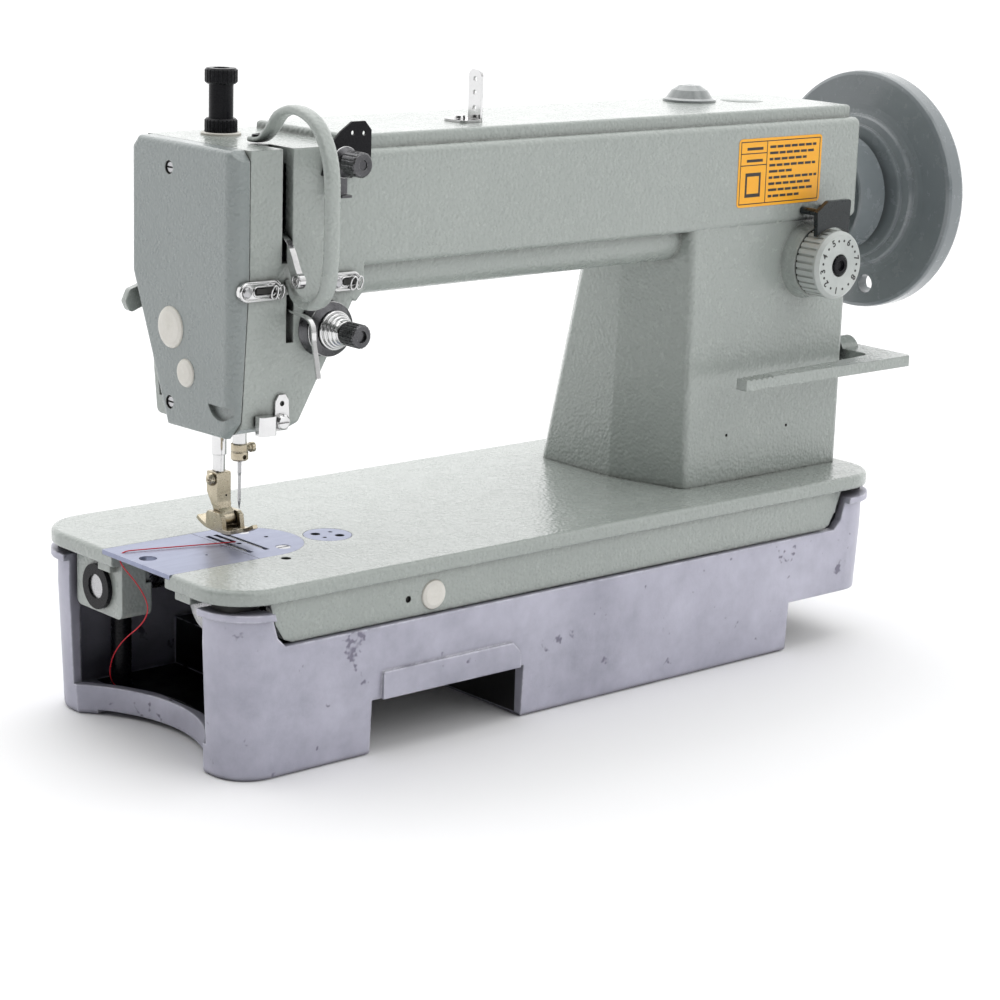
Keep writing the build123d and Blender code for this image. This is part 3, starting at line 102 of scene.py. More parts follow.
# ------------------------------------------------------------------ materials
class Nodes:
    """Short names for building one material."""

    def __init__(self, name):
        self.material = bpy.data.materials.new(name)
        self.material.use_nodes = True
        self.tree = self.material.node_tree
        self.shader = self.tree.nodes["Principled BSDF"]

    def add(self, kind, inputs=(), **settings):
        node = self.tree.nodes.new(kind)
        for key, value in settings.items():
            setattr(node, key, value)
        for key, value in dict(inputs).items():
            if isinstance(value, bpy.types.NodeSocket):
                self.tree.links.new(value, node.inputs[key])
            else:
                node.inputs[key].default_value = value
        return node

    def noise(self, where, scale, detail=4.0, rough=0.55):
        node = self.add("ShaderNodeTexNoise", {"Vector": where, "Scale": scale, "Detail": detail,
                                               "Roughness": rough})
        return node.outputs["Fac"]

    def cells(self, where, scale):
        node = self.add("ShaderNodeTexVoronoi", {"Vector": where, "Scale": scale},
                        feature="SMOOTH_F1")
        return node.outputs["Distance"]

    def span(self, value, low, high, to_low=0.0, to_high=1.0):
        node = self.add("ShaderNodeMapRange", {"Value": value, "From Min": low, "From Max": high,
                                               "To Min": to_low, "To Max": to_high})
        return node.outputs["Result"]

    def math(self, operation, first, second=0.0):
        node = self.add("ShaderNodeMath", {0: first, 1: second}, operation=operation)
        return node.outputs[0]

    def mix(self, share, first, second):
        node = self.add("ShaderNodeMix", {0: share, 6: first, 7: second}, data_type="RGBA")
        return node.outputs[2]

    def inside(self, low, high):
        """One inside a box of the object's own coordinates, zero outside it."""
        place = self.add("ShaderNodeTexCoord").outputs["Object"]
        split = self.add("ShaderNodeSeparateXYZ", {"Vector": place})
        share = 1.0
        for axis in range(3):
            middle, half = (low[axis] + high[axis]) / 2, (high[axis] - low[axis]) / 2
            away = self.math("ABSOLUTE", self.math("SUBTRACT", split.outputs[axis], middle))
            share = self.math("MULTIPLY", self.math("LESS_THAN", away, half), share)
        return share

    def bump(self, height, distance, strength, normal=None):
        inputs = {"Height": height, "Distance": distance, "Strength": strength}
        if normal is not None:
            inputs["Normal"] = normal
        return self.add("ShaderNodeBump", inputs).outputs["Normal"]


def rgba(colour):
    return (*colour, 1.0)


# Reach in mm of the ambient occlusion that paints dirt and shade into corners.
DIRT_AND_SHADE_REACH = 6.0
FINE_MOTTLE = 7.0
TONE_SPAN = (0.3, 0.7)
COAT_ROUGHNESS = 0.15


def surface(name, base, other, rough, metallic=0.0, mottle=25.0, stretch=(1, 1, 1), bumps=(), wear=None,
            dirt_and_shade=None, specks=None, coat=0.0, rounding=0.6, rough_vary=0.08, gloss=0.5, cell_bump=None,
            hollow=None, within=None):
    """A worn material: two mottled tones, bumps as (scale, depth in mm, strength), bright worn
    edges as (colour, share), dirt and painted shade in the corners as (colour, share), small stains as
    (scale, threshold, colour) and painted shade darkening deep hollows as (colour, reach in mm, openness
    where it starts, openness where it is full), kept within a box if one is given."""
    n = Nodes(name)
    place = n.add("ShaderNodeTexCoord").outputs["Object"]
    if stretch != (1, 1, 1):
        place = n.add("ShaderNodeMapping", {"Vector": place, "Scale": stretch}).outputs["Vector"]
    soft = n.noise(place, mottle)
    fine = n.noise(place, mottle * FINE_MOTTLE, 6.0, 0.65)
    blend = n.math("ADD", n.math("MULTIPLY", soft, 0.65), n.math("MULTIPLY", fine, 0.35))
    colour = n.mix(n.span(blend, *TONE_SPAN), rgba(base), rgba(other))
    rounded = n.add("ShaderNodeBevel", {"Radius": rounding * MM}, samples=4).outputs["Normal"]
    roughness = n.span(fine, *TONE_SPAN, rough - rough_vary, rough + rough_vary)
    if specks is not None:
        scale, threshold, tone = specks
        mark = n.span(n.noise(place, scale, 3.0, 0.7), threshold, threshold + 0.04)
        colour = n.mix(mark, colour, rgba(tone))
    # Dirt and painted shade: the colour darkens where ambient occlusion finds corners and creases, broken up by
    # the soft mottle.
    if dirt_and_shade is not None:
        tone, share = dirt_and_shade
        shade = n.add("ShaderNodeAmbientOcclusion", {"Distance": DIRT_AND_SHADE_REACH * MM}, samples=6).outputs["AO"]
        mask = n.math("MULTIPLY", n.span(shade, 0.85, 0.35, 0.0, share), n.span(soft, 0.3, 0.6, 0.4, 1.0))
        colour = n.mix(mask, colour, rgba(tone))
    # Painted shade: deep hollows found by ambient occlusion darken nearly to black, only inside the box when
    # one is given.
    if hollow is not None:
        tone, reach, high, low = hollow
        open_sky = n.add("ShaderNodeAmbientOcclusion", {"Distance": reach * MM}, samples=8).outputs["AO"]
        shade = n.span(open_sky, high, low)
        if within is not None:
            shade = n.math("MULTIPLY", shade, n.inside(*within))
        colour = n.mix(shade, colour, rgba(tone))
    if wear is not None:
        tone, share = wear
        true = n.add("ShaderNodeNewGeometry").outputs["Normal"]
        dot = n.add("ShaderNodeVectorMath", {0: rounded, 1: true}, operation="DOT_PRODUCT").outputs["Value"]
        edge = n.math("MULTIPLY", n.span(dot, 0.985, 0.9, 0.0, share), n.span(fine, 0.4, 0.6))
        colour = n.mix(edge, colour, rgba(tone))
    normal = rounded
    for scale, depth, strength in bumps:
        normal = n.bump(n.noise(place, scale, 3.0, 0.6), depth * MM, strength, normal)
    if cell_bump is not None:
        scale, depth, strength = cell_bump
        normal = n.bump(n.cells(place, scale), depth * MM, strength, normal)
    links = n.tree.links
    links.new(colour, n.shader.inputs["Base Color"])
    links.new(roughness, n.shader.inputs["Roughness"])
    links.new(normal, n.shader.inputs["Normal"])
    n.shader.inputs["Metallic"].default_value = metallic
    n.shader.inputs["Specular IOR Level"].default_value = gloss
    n.shader.inputs["Coat Weight"].default_value = coat
    n.shader.inputs["Coat Roughness"].default_value = COAT_ROUGHNESS
    return n.material


# Near-black colour painted as shade into deep hollows, such as the inside of the pan and small holes in the
# plates.
DEEP_SHADE_TONE = (0.004, 0.004, 0.005)
PAINT = surface("hammer_paint", (0.335, 0.367, 0.346), (0.368, 0.400, 0.377), 0.25, mottle=14.0,
                bumps=((260.0, 0.25, 0.35), (900.0, 0.1, 0.25)), cell_bump=(560.0, 0.42, 1.0),
                coat=0.35, dirt_and_shade=((0.10, 0.095, 0.08), 0.75), wear=((0.62, 0.65, 0.62), 0.5),
                rounding=1.4, specks=(210.0, 0.8, (0.24, 0.25, 0.23)),
                hollow=(DEEP_SHADE_TONE, 45.0, 0.45, 0.2))
FACE_PAINT = surface("face_paint", (0.235, 0.265, 0.262), (0.265, 0.295, 0.29), 0.3, mottle=16.0,
                     bumps=((320.0, 0.2, 0.35), (1100.0, 0.08, 0.2)), cell_bump=(640.0, 0.34, 0.9),
                     dirt_and_shade=((0.10, 0.095, 0.08), 0.7), wear=((0.6, 0.63, 0.6), 0.4), rounding=1.0,
                     coat=0.3)
PAN_METAL = surface("cast_aluminium", (0.30, 0.30, 0.365), (0.58, 0.575, 0.67), 0.40, metallic=0.35,
                    mottle=11.0, bumps=((150.0, 0.35, 0.4), (700.0, 0.15, 0.5)),
                    wear=((0.85, 0.85, 0.92), 0.8), dirt_and_shade=((0.06, 0.055, 0.06), 0.7),
                    specks=(60.0, 0.64, (0.20, 0.19, 0.25)), rounding=1.6, rough_vary=0.12,
                    hollow=(DEEP_SHADE_TONE, 140.0, 0.8, 0.5),
                    within=(at(34.0, 9.2, -97.0), at(464.0, 168.8, -16.0)))
PLATE_STEEL = surface("plate_steel", (0.235, 0.255, 0.36), (0.31, 0.335, 0.45), 0.36, metallic=0.8,
                mottle=30.0, stretch=(1, 9, 9), bumps=((1800.0, 0.02, 0.25),), rounding=0.3,
                wear=((0.9, 0.92, 1.0), 0.5), hollow=(DEEP_SHADE_TONE, 3.0, 0.5, 0.25))
STEEL = surface("machined_steel", (0.40, 0.40, 0.41), (0.56, 0.56, 0.57), 0.28, metallic=1.0, mottle=60.0,
                bumps=((2400.0, 0.02, 0.25),), rounding=0.3, dirt_and_shade=((0.05, 0.045, 0.04), 0.8))
CHROME = surface("chrome", (0.62, 0.62, 0.62), (0.78, 0.78, 0.78), 0.12, metallic=1.0, mottle=60.0,
                 bumps=((1500.0, 0.015, 0.15),), rounding=0.4, dirt_and_shade=((0.06, 0.055, 0.05), 0.8),
                 rough_vary=0.05)
NICKEL = surface("worn_nickel", (0.40, 0.345, 0.25), (0.62, 0.56, 0.44), 0.3, metallic=1.0,
                 mottle=120.0, bumps=((1400.0, 0.06, 0.4), (500.0, 0.12, 0.3)), rounding=0.5,
                 dirt_and_shade=((0.07, 0.05, 0.03), 0.8), specks=(900.0, 0.66, (0.12, 0.09, 0.06)),
                 wear=((0.85, 0.8, 0.68), 0.8))
BLACK_METAL = surface("black_oxide", (0.004, 0.004, 0.006), (0.011, 0.011, 0.013), 0.28, gloss=0.15,
                      mottle=70.0, bumps=((1500.0, 0.03, 0.3),), wear=((0.12, 0.12, 0.12), 0.5),
                      rounding=0.4)
DARK_STEEL = surface("dark_steel", (0.06, 0.06, 0.065), (0.15, 0.15, 0.155), 0.3, metallic=1.0,
                     mottle=80.0, bumps=((1500.0, 0.03, 0.3),), wear=((0.5, 0.5, 0.5), 0.6),
                     rounding=0.4)
WHEEL_ENAMEL = surface("wheel_enamel", (0.165, 0.19, 0.20), (0.205, 0.23, 0.24), 0.24, mottle=18.0,
                       bumps=((300.0, 0.08, 0.15),), coat=0.6, rounding=1.0,
                       wear=((0.36, 0.39, 0.4), 0.35), dirt_and_shade=((0.06, 0.06, 0.06), 0.5))
BLACK_PLASTIC = surface("black_plastic", (0.008, 0.012, 0.013), (0.018, 0.024, 0.026), 0.3, gloss=0.3,
                        mottle=60.0, bumps=((1200.0, 0.03, 0.25),), wear=((0.12, 0.12, 0.13), 0.5),
                        rounding=0.5, coat=0.2)
WHITE_PLASTIC = surface("white_plastic", (0.64, 0.62, 0.56), (0.78, 0.76, 0.71), 0.45, mottle=60.0,
                        bumps=((900.0, 0.04, 0.3),), dirt_and_shade=((0.2, 0.17, 0.12), 0.7), rounding=0.5)
DIAL_GREY = surface("dial_grey", (0.44, 0.47, 0.455), (0.54, 0.57, 0.55), 0.42, mottle=80.0,
                    bumps=((1300.0, 0.05, 0.35),), dirt_and_shade=((0.16, 0.15, 0.12), 0.7), rounding=0.5)
OIL_SIGHT = surface("oil_sight", (0.20, 0.22, 0.22), (0.34, 0.36, 0.36), 0.14, mottle=90.0, coat=0.6,
                    bumps=((600.0, 0.03, 0.1),), rounding=0.6)
RUBBER = surface("rubber", (0.012, 0.012, 0.012), (0.03, 0.03, 0.03), 0.6, mottle=90.0,
                 bumps=((900.0, 0.08, 0.5),), rounding=0.8)
BRONZE = surface("bronze", (0.42, 0.29, 0.13), (0.55, 0.4, 0.2), 0.35, metallic=1.0, mottle=90.0,
                 bumps=((1500.0, 0.03, 0.3),), rounding=0.3)
THREAD_RED = surface("thread_red", (0.55, 0.006, 0.02), (0.75, 0.02, 0.035), 0.6, mottle=500.0,
                     bumps=((2500.0, 0.08, 0.6),), rounding=0.1)
LABEL_AMBER = surface("label_amber", (0.93, 0.40, 0.012), (0.98, 0.47, 0.02), 0.4, mottle=30.0,
                      bumps=((500.0, 0.02, 0.1),), rounding=0.1, specks=(420.0, 0.73, (0.6, 0.2, 0.01)))
# Black for the print on the notice and dial. It is also the painted shade of the discs in holes and the blocks
# in the guide openings.
INK_AND_SHADE_BLACK = surface("ink", (0.012, 0.012, 0.012), (0.03, 0.028, 0.025), 0.45, mottle=120.0,
              bumps=((900.0, 0.01, 0.1),), rounding=0.1)

LOOK_OF_SLOT = {
    "cast_aluminium": PAN_METAL, "hammer_paint": PAINT, "plate_steel": PLATE_STEEL, "machined_steel": STEEL,
    "chrome": CHROME, "nickel": NICKEL, "black_metal": BLACK_METAL, "wheel_enamel": WHEEL_ENAMEL,
    "black_plastic": BLACK_PLASTIC, "white_plastic": WHITE_PLASTIC,
    "oil_sight": OIL_SIGHT, "rubber": RUBBER,
    "bronze": BRONZE, "dark_steel": DARK_STEEL, "thread": THREAD_RED,
}
LOOK_OF_NODE = {"face_plate": FACE_PAINT, "stitch_dial": DIAL_GREY}


def dress_nodes():
    """Every CAD node takes the look of its material slot."""
    for part in frame["record"]["subparts"]:
        node = frame["nodes"][part["node"]]
        look = LOOK_OF_NODE.get(part["node"], LOOK_OF_SLOT[part["material_slot"]])
        node.data.materials.clear()
        node.data.materials.append(look)


dress_nodes()


# ------------------------------------------------------------------ mesh tools
def add_piece(name, mesh, body, looks):
    """A new visible piece with its materials, riding on a body."""
    for look in looks:
        mesh.materials.append(look)
    piece = bpy.data.objects.new(name, mesh)
    bpy.context.scene.collection.objects.link(piece)
    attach(piece, body)
    return piece


CREASE = math.radians(38)


def mesh_from(bm, name, smooth=True):
    """Closes a bmesh: outward faces, smooth shading with sharp creases."""
    bmesh.ops.remove_doubles(bm, verts=bm.verts, dist=1e-6)
    bmesh.ops.recalc_face_normals(bm, faces=bm.faces)
    for face in bm.faces:
        face.smooth = smooth
    for edge in bm.edges:
        if len(edge.link_faces) == 2 and edge.calc_face_angle(0.0) > CREASE:
            edge.smooth = False
    mesh = bpy.data.meshes.new(name)
    bm.to_mesh(mesh)
    bm.free()
    return mesh


def basis(axis):
    """An axis and two directions across it."""
    axis = Vector(axis).normalized()
    side = axis.cross(Vector((0, 0, 1)) if abs(axis.z) < 0.9 else Vector((1, 0, 0))).normalized()
    return axis, side, axis.cross(side)


def turn(bm, centre, axis, profile, steps=40):
    """Revolves a profile of (along the axis, radius) in mm about an axis through a point."""
    along, side, other = basis(axis)
    origin = at(*centre)
    rings = []
    for distance, radius in profile:
        middle = origin + along * distance * MM
        if radius <= 0:
            rings.append([bm.verts.new(middle)])
            continue
        rings.append([bm.verts.new(middle + (side * math.cos(a) + other * math.sin(a)) * radius * MM)
                      for a in (2 * math.pi * i / steps for i in range(steps))])
    for low, high in zip(rings, rings[1:]):
        for i in range(steps):
            j = (i + 1) % steps
            corners = [low[i % len(low)], low[j % len(low)], high[j % len(high)], high[i % len(high)]]
            corners = list(dict.fromkeys(corners))
            if len(corners) > 2:
                bm.faces.new(corners)


def ring_line(centre, reach, steps):
    """A closed line round a centre; reach gives the offset from it at an angle."""
    turns = (2 * math.pi * i / steps for i in range(steps))
    return [Vector([c + r for c, r in zip(centre, reach(a))]) for a in turns]


def smooth_line(points, steps):
    """Catmull-Rom points along a line through the given points."""
    points = [Vector(p) for p in points]
    count = len(points)
    made = []
    for i in range(count - 1):
        a, b, c, d = points[max(i - 1, 0)], points[i], points[i + 1], points[min(i + 2, count - 1)]
        for step in range(steps):
            t = step / steps
            made.append(0.5 * (2 * b + (c - a) * t + (2 * a - 5 * b + 4 * c - d) * t ** 2
                               + (3 * b - a - 3 * c + d) * t ** 3))
    made.append(points[-1])
    return made


def sweep_bar(bm, line, across, wide, thick, closed=False, sides=16, power=2.0):
    """Sweeps a rounded section along a line in mm; wide runs along 'across', thick across it. Both are
    functions of the share of the line, and a power above 2 makes the section squarer."""
    across = Vector(across).normalized()
    rings = []
    last = len(line) - 1
    for i, place in enumerate(line):
        if closed:
            tangent = line[(i + 1) % len(line)] - line[i - 1]
        else:
            tangent = line[min(i + 1, last)] - line[max(i - 1, 0)]
        normal = tangent.cross(across).normalized()
        share = i / last
        ring = []
        for k in range(sides):
            a = 2 * math.pi * k / sides
            c, s = math.cos(a), math.sin(a)
            u = math.copysign(abs(c) ** (2 / power), c) * wide(share) / 2
            v = math.copysign(abs(s) ** (2 / power), s) * thick(share) / 2
            ring.append(bm.verts.new(at(*(place + across * u + normal * v))))
        rings.append(ring)
    pairs = list(zip(rings, rings[1:])) + ([(rings[-1], rings[0])] if closed else [])
    for low, high in pairs:
        for k in range(sides):
            j = (k + 1) % sides
            bm.faces.new((low[k], low[j], high[j], high[k]))
    if not closed:
        for ring in (rings[0], rings[-1]):
            bm.faces.new(ring)


def steady(value):
    """A width that stays the same along a bar."""
    return lambda share: value


def block(bm, low, high, look=0):
    """A block between two corners in mm."""
    corners = [bm.verts.new(at(*(high[i] if k >> i & 1 else low[i] for i in range(3)))) for k in range(8)]
    for face in ((0, 1, 3, 2), (4, 6, 7, 5), (0, 4, 5, 1), (2, 3, 7, 6), (0, 2, 6, 4), (1, 5, 7, 3)):
        bm.faces.new([corners[k] for k in face]).material_index = look


def slab_front(bm, x0, x1, z0, z1, corner, y_back, y_front, steps=6):
    """A thin rounded panel lying on a front face."""
    outline = []
    for cx, cz, start in ((x1 - corner, z1 - corner, 0), (x0 + corner, z1 - corner, 90),
                          (x0 + corner, z0 + corner, 180), (x1 - corner, z0 + corner, 270)):
        for i in range(steps + 1):
            a = math.radians(start + 90 * i / steps)
            outline.append((cx + corner * math.cos(a), cz + corner * math.sin(a)))
    back = [bm.verts.new(at(x, y_back, z)) for x, z in outline]
    front = [bm.verts.new(at(x, y_front, z)) for x, z in outline]
    bm.faces.new(back)
    bm.faces.new(front)
    for i in range(len(outline)):
        j = (i + 1) % len(outline)
        bm.faces.new((back[i], back[j], front[j], front[i]))


# ------------------------------------------------------------------ take-up guard
def make_guard():
    """The bent guard bar round the take-up lever, with its screwed root and tapering tail."""
    side = [(60, 210.0), (52, 211.0), (45, 216.5), (38, 224.0), (26, 227.3), (12, 223.6), (2.6, 213.6),
            (-2.2, 200), (-3.0, 180), (-2.9, 160), (-0.4, 145), (6, 136.6), (16, 134.2),
            (25, 137), (31.4, 144)]
    places = smooth_line([(TAKE_UP_X, y, z) for y, z in side], 8)
    root, rise, tail = 0.08, 0.2, 0.8

    def wide(share):
        return 8.6 if share < tail else 8.6 - 5.0 * (share - tail) / 0.2

    def thick(share):
        if share < root:
            return 3.2
        if share < rise:
            return 3.2 + 1.7 * (share - root) / 0.12
        return 4.9 if share < tail else 4.9 - 2.4 * (share - tail) / 0.2

    bm = bmesh.new()
    sweep_bar(bm, places, (1, 0, 0), wide, thick, sides=24, power=2.6)
    mesh = mesh_from(bm, "take_up_guard_bar")
    guard = add_piece("take_up_guard_bar", mesh, "machine", [PAINT])
    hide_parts("take_up_guard")
    bm = bmesh.new()
    head = [(-1.5, 3.3), (0.6, 3.3), (1.2, 2.9), (1.4, 1.6), (0.5, 1.5), (0.4, 0)]
    turn(bm, (TAKE_UP_X, 56.5, 211.4), (0, 0, 1), head)
    add_piece("guard_screw", mesh_from(bm, "guard_screw"), "machine", [BLACK_METAL])


make_guard()


# ------------------------------------------------------------------ thread guides
def oval_line(cx, cz, length, height, y, steps=10):
    """A closed slot-shaped line on a front face."""
    radius, half = height / 2, length / 2 - height / 2
    line = []
    for middle, start in ((cx + half, -90), (cx - half, 90)):
        for i in range(steps + 1):
            a = math.radians(start + 180 * i / steps)
            line.append(Vector((middle + radius * math.cos(a), y, cz + radius * math.sin(a))))
    return line


def make_oval_guides():
    """The bright rims, screws and wire loops of the two oval thread guides, with black blocks in their openings
    as painted shade.
    """
    rims, screws, mouths, loops = (bmesh.new() for _ in range(4))
    out = (0, 1, 0)
    face = FRONT_FACE - 2.62
    head = [(-0.2, 2.7), (0.6, 2.7), (1.3, 2.1), (1.5, 1.0), (1.5, 0)]
    for cx, cz, length, height in ((38.8, 140.5, 25.5, 10.0), (90.5, 141.0, 19.0, 9.5)):
        eye = cx + 2.5
        outer = oval_line(cx, cz, length - 1.6, height - 1.6, face)
        inner = oval_line(eye, cz, length * 0.5 + 1.2, height * 0.36 + 1.2, face)
        sweep_bar(rims, outer, out, steady(1.3), steady(1.5), closed=True, sides=10)
        sweep_bar(rims, inner, out, steady(1.1), steady(1.0), closed=True, sides=10)
        turn(screws, (cx - length / 2 + 4.3, face, cz), (0, -1, 0), head)
        # A black block in each guide's opening: painted shade.
        half = length * 0.2
        block(mouths, (eye - half, face - 0.05, cz - 1.3), (eye + half, face + 0.4, cz + 1.3))
        for offset in (1.0, 4.6):
            middle = (cx + length / 2 - 6.5 + offset, face - 1.6, cz - 1.0)
            ring = ring_line(
                middle, lambda a: (1.9 * math.cos(a), -0.9 * math.sin(a), 3.4 * math.sin(a)), 28)
            sweep_bar(loops, ring, (0, 1, 0.3), steady(0.9), steady(0.9), closed=True, sides=8)
    add_piece("guide_rims", mesh_from(rims, "guide_rims"), "machine", [CHROME])
    add_piece("guide_screws", mesh_from(screws, "guide_screws"), "machine", [STEEL])
    add_piece("guide_opening_shade", mesh_from(mouths, "guide_opening_shade"), "machine", [INK_AND_SHADE_BLACK])
    add_piece("guide_loops", mesh_from(loops, "guide_loops"), "machine", [CHROME])


make_oval_guides()


def make_take_up_eye():
    """Two wire rings round the eye of the take-up lever."""
    bm = bmesh.new()
    for x in (54.7, 57.7):
        ring = ring_line((x, *TAKE_UP_EYE), lambda a: (0.0, 3.0 * math.cos(a), 3.0 * math.sin(a)), 28)
        sweep_bar(bm, ring, (1, 0, 0), steady(1.2), steady(1.3), closed=True, sides=8)
    add_piece("take_up_eye_rings", mesh_from(bm, "take_up_eye_rings"), "take_up", [CHROME])


make_take_up_eye()


def make_tension_details():
    """Bright rims of the tension discs and the hollow, polished mouths of the two nuts."""
    rims = bmesh.new()
    main, small = (TENSION_X, TENSION_Z), (PRETENSION_X, PRETENSION_Z)
    for (x, z), y, radius in ((main, 24.95, 13.55), (main, 23.4, 11.2), (small, 22.95, 7.55)):
        ring = ring_line((x, y, z), lambda a: (radius * math.cos(a), 0.0, radius * math.sin(a)), 60)
        sweep_bar(rims, ring, (0, 1, 0), steady(0.5), steady(0.5), closed=True, sides=8)
    add_piece("disc_rims", mesh_from(rims, "disc_rims"), "machine", [CHROME])
    for name, (x, z), y, radius, bore in (("tension_nut", main, 0.05, 5.3, 3.1),
                                          ("pretension_nut", small, 9.05, 5.5, 2.6)):
        bm = bmesh.new()
        lip = [(0.1, radius), (0.0, radius - 0.3), (0.0, bore + 0.6), (0.5, bore + 0.1), (0.9, bore + 0.05)]
        turn(bm, (x, y, z), (0, 1, 0), lip)
        add_piece(name + "_lip", mesh_from(bm, name + "_lip"), name, [CHROME])


make_tension_details()


# ------------------------------------------------------------------ plain notice panel
def make_notice():
    """The amber panel on the arm: a black border, a grid and blank bars, with no words."""
    x0, x1, z0, z1 = 369.5, 437.8, 158.6, 197.0
    face = FRONT_FACE
    bm = bmesh.new()
    slab_front(bm, x0, x1, z0, z1, 2.5, face + 0.05, face - 0.22)
    line, inset, proud = 0.55, 1.5, face - 0.26
    left, right, low, high = x0 + inset, x1 - inset, z0 + inset, z1 - inset
    split, upper, middle = x0 + 22.5, z1 - 8.6, z1 - 15.2
    lines = [(left, right, high - line, high), (left, right, low, low + line),
             (left, left + line, low, high), (right - line, right, low, high), (split, split + line, low, high),
             (left, split, upper, upper + line), (left, split, middle, middle + line)]
    for start, end, under, over in lines:
        block(bm, (start, proud, under), (end, face, over), look=1)
    for top in (high - 2.0, upper - 1.6):
        block(bm, (left + 5.0, proud, top - 3.0), (split - 3.0, face, top - 1.4), look=1)
    block(bm, (left + 4.5, proud, low + 4.0), (split - 4.0, face, middle - 4.0), look=1)
    block(bm, (left + 6.0, proud - 0.02, low + 6.0), (split - 5.5, face, middle - 6.0), look=0)
    short_by = (0.0, 3.0, 9.0, 1.5, 20.0, 0.0, 4.0, 2.0, 14.0)
    pitch = (high - low - 4.0) / len(short_by)
    for row, cut in enumerate(short_by):
        z = high - 2.4 - (row + 0.6) * pitch
        start = split + 2.6
        while start < right - 3.0 - cut:
            end = min(start + 3.0 + 2.0 * ((row * 7 + int(start)) % 3), right - 2.0 - cut)
            block(bm, (start, proud, z), (end, face, z + pitch * 0.42), look=1)
            start = end + 0.9
    add_piece("notice_panel", mesh_from(bm, "notice_panel", smooth=False), "machine", [LABEL_AMBER, INK_AND_SHADE_BLACK])


make_notice()


# ------------------------------------------------------------------ stitch dial markings
def make_dial_marks():
    """Numbers 1 to 8 round the dial with dots between them, and the socket screw in its middle."""
    bm = bmesh.new()
    radius, height, raised = 14.2, 5.4, 0.06
    x, y, z = DIAL_AT
    places = {1: 262, 2: 222, 3: 190, 4: 155, 5: 115, 6: 62, 7: 14, 8: -32}
    for number, degrees in places.items():
        text = bpy.data.curves.new(f"numeral_{number}", "FONT")
        text.body = str(number)
        text.size = height * MM
        text.extrude = raised * MM
        text.offset = 0.12 * MM
        text.align_x = "CENTER"
        text.align_y = "CENTER"
        holder = bpy.data.objects.new(f"numeral_{number}", text)
        glyph = bpy.data.meshes.new_from_object(holder)
        a = math.radians(degrees)
        place = at(x + radius * math.cos(a), y - 0.03, z + radius * math.sin(a))
        spin = Matrix.Rotation(a - math.pi / 2, 4, "Z")
        stand = Matrix.Rotation(math.pi / 2, 4, "X")
        glyph.transform(Matrix.Translation(place) @ stand @ spin)
        bm.from_mesh(glyph)
        bpy.data.objects.remove(holder)
        bpy.data.meshes.remove(glyph)
    stops = sorted(places.values())
    for low, high in zip(stops, stops[1:] + [stops[0] + 360]):
        gaps = 1 if high - low < 42 else 2
        for k in range(gaps):
            a = math.radians(low + (high - low) * (k + 1) / (gaps + 1))
            centre = (x + radius * math.cos(a), y + 0.02, z + radius * math.sin(a))
            turn(bm, centre, (0, -1, 0), [(0, 0.75), (0.1, 0.75), (0.12, 0)], steps=14)
    add_piece("dial_marks", mesh_from(bm, "dial_marks", smooth=False), "stitch_dial", [INK_AND_SHADE_BLACK])
    bm = bmesh.new()
    socket = [(0.0, 5.6), (0.5, 5.6), (0.9, 5.1), (0.9, 3.2), (-0.6, 3.0), (-0.6, 0)]
    turn(bm, DIAL_AT, (0, -1, 0), socket, steps=36)
    mesh = mesh_from(bm, "dial_socket_screw")
    add_piece("dial_socket_screw", mesh, "stitch_dial", [BLACK_METAL])


make_dial_marks()


# ------------------------------------------------------------------ small plugs, rings and painted shade in holes
def make_presser_spring():
    """The presser bar's coil spring, built at one length; the real spring shortens as the bar is lifted."""
    low, high, turns, steps, radius = 173.8, 195.4, 5.4, 150, 4.78
    coil = []
    for i in range(steps + 1):
        a = 2 * math.pi * turns * i / steps
        x, y = NEEDLE_X + radius * math.cos(a), PRESSER_Y + radius * math.sin(a)
        coil.append(Vector((x, y, low + (high - low) * i / steps)))
    bm = bmesh.new()
    sweep_bar(bm, coil, (0, 0, 1), steady(1.0), steady(1.0), sides=10)
    spring = add_piece("presser_coil", mesh_from(bm, "presser_coil"), "machine", [STEEL])
    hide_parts("presser_spring")
    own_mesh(spring)


make_presser_spring()


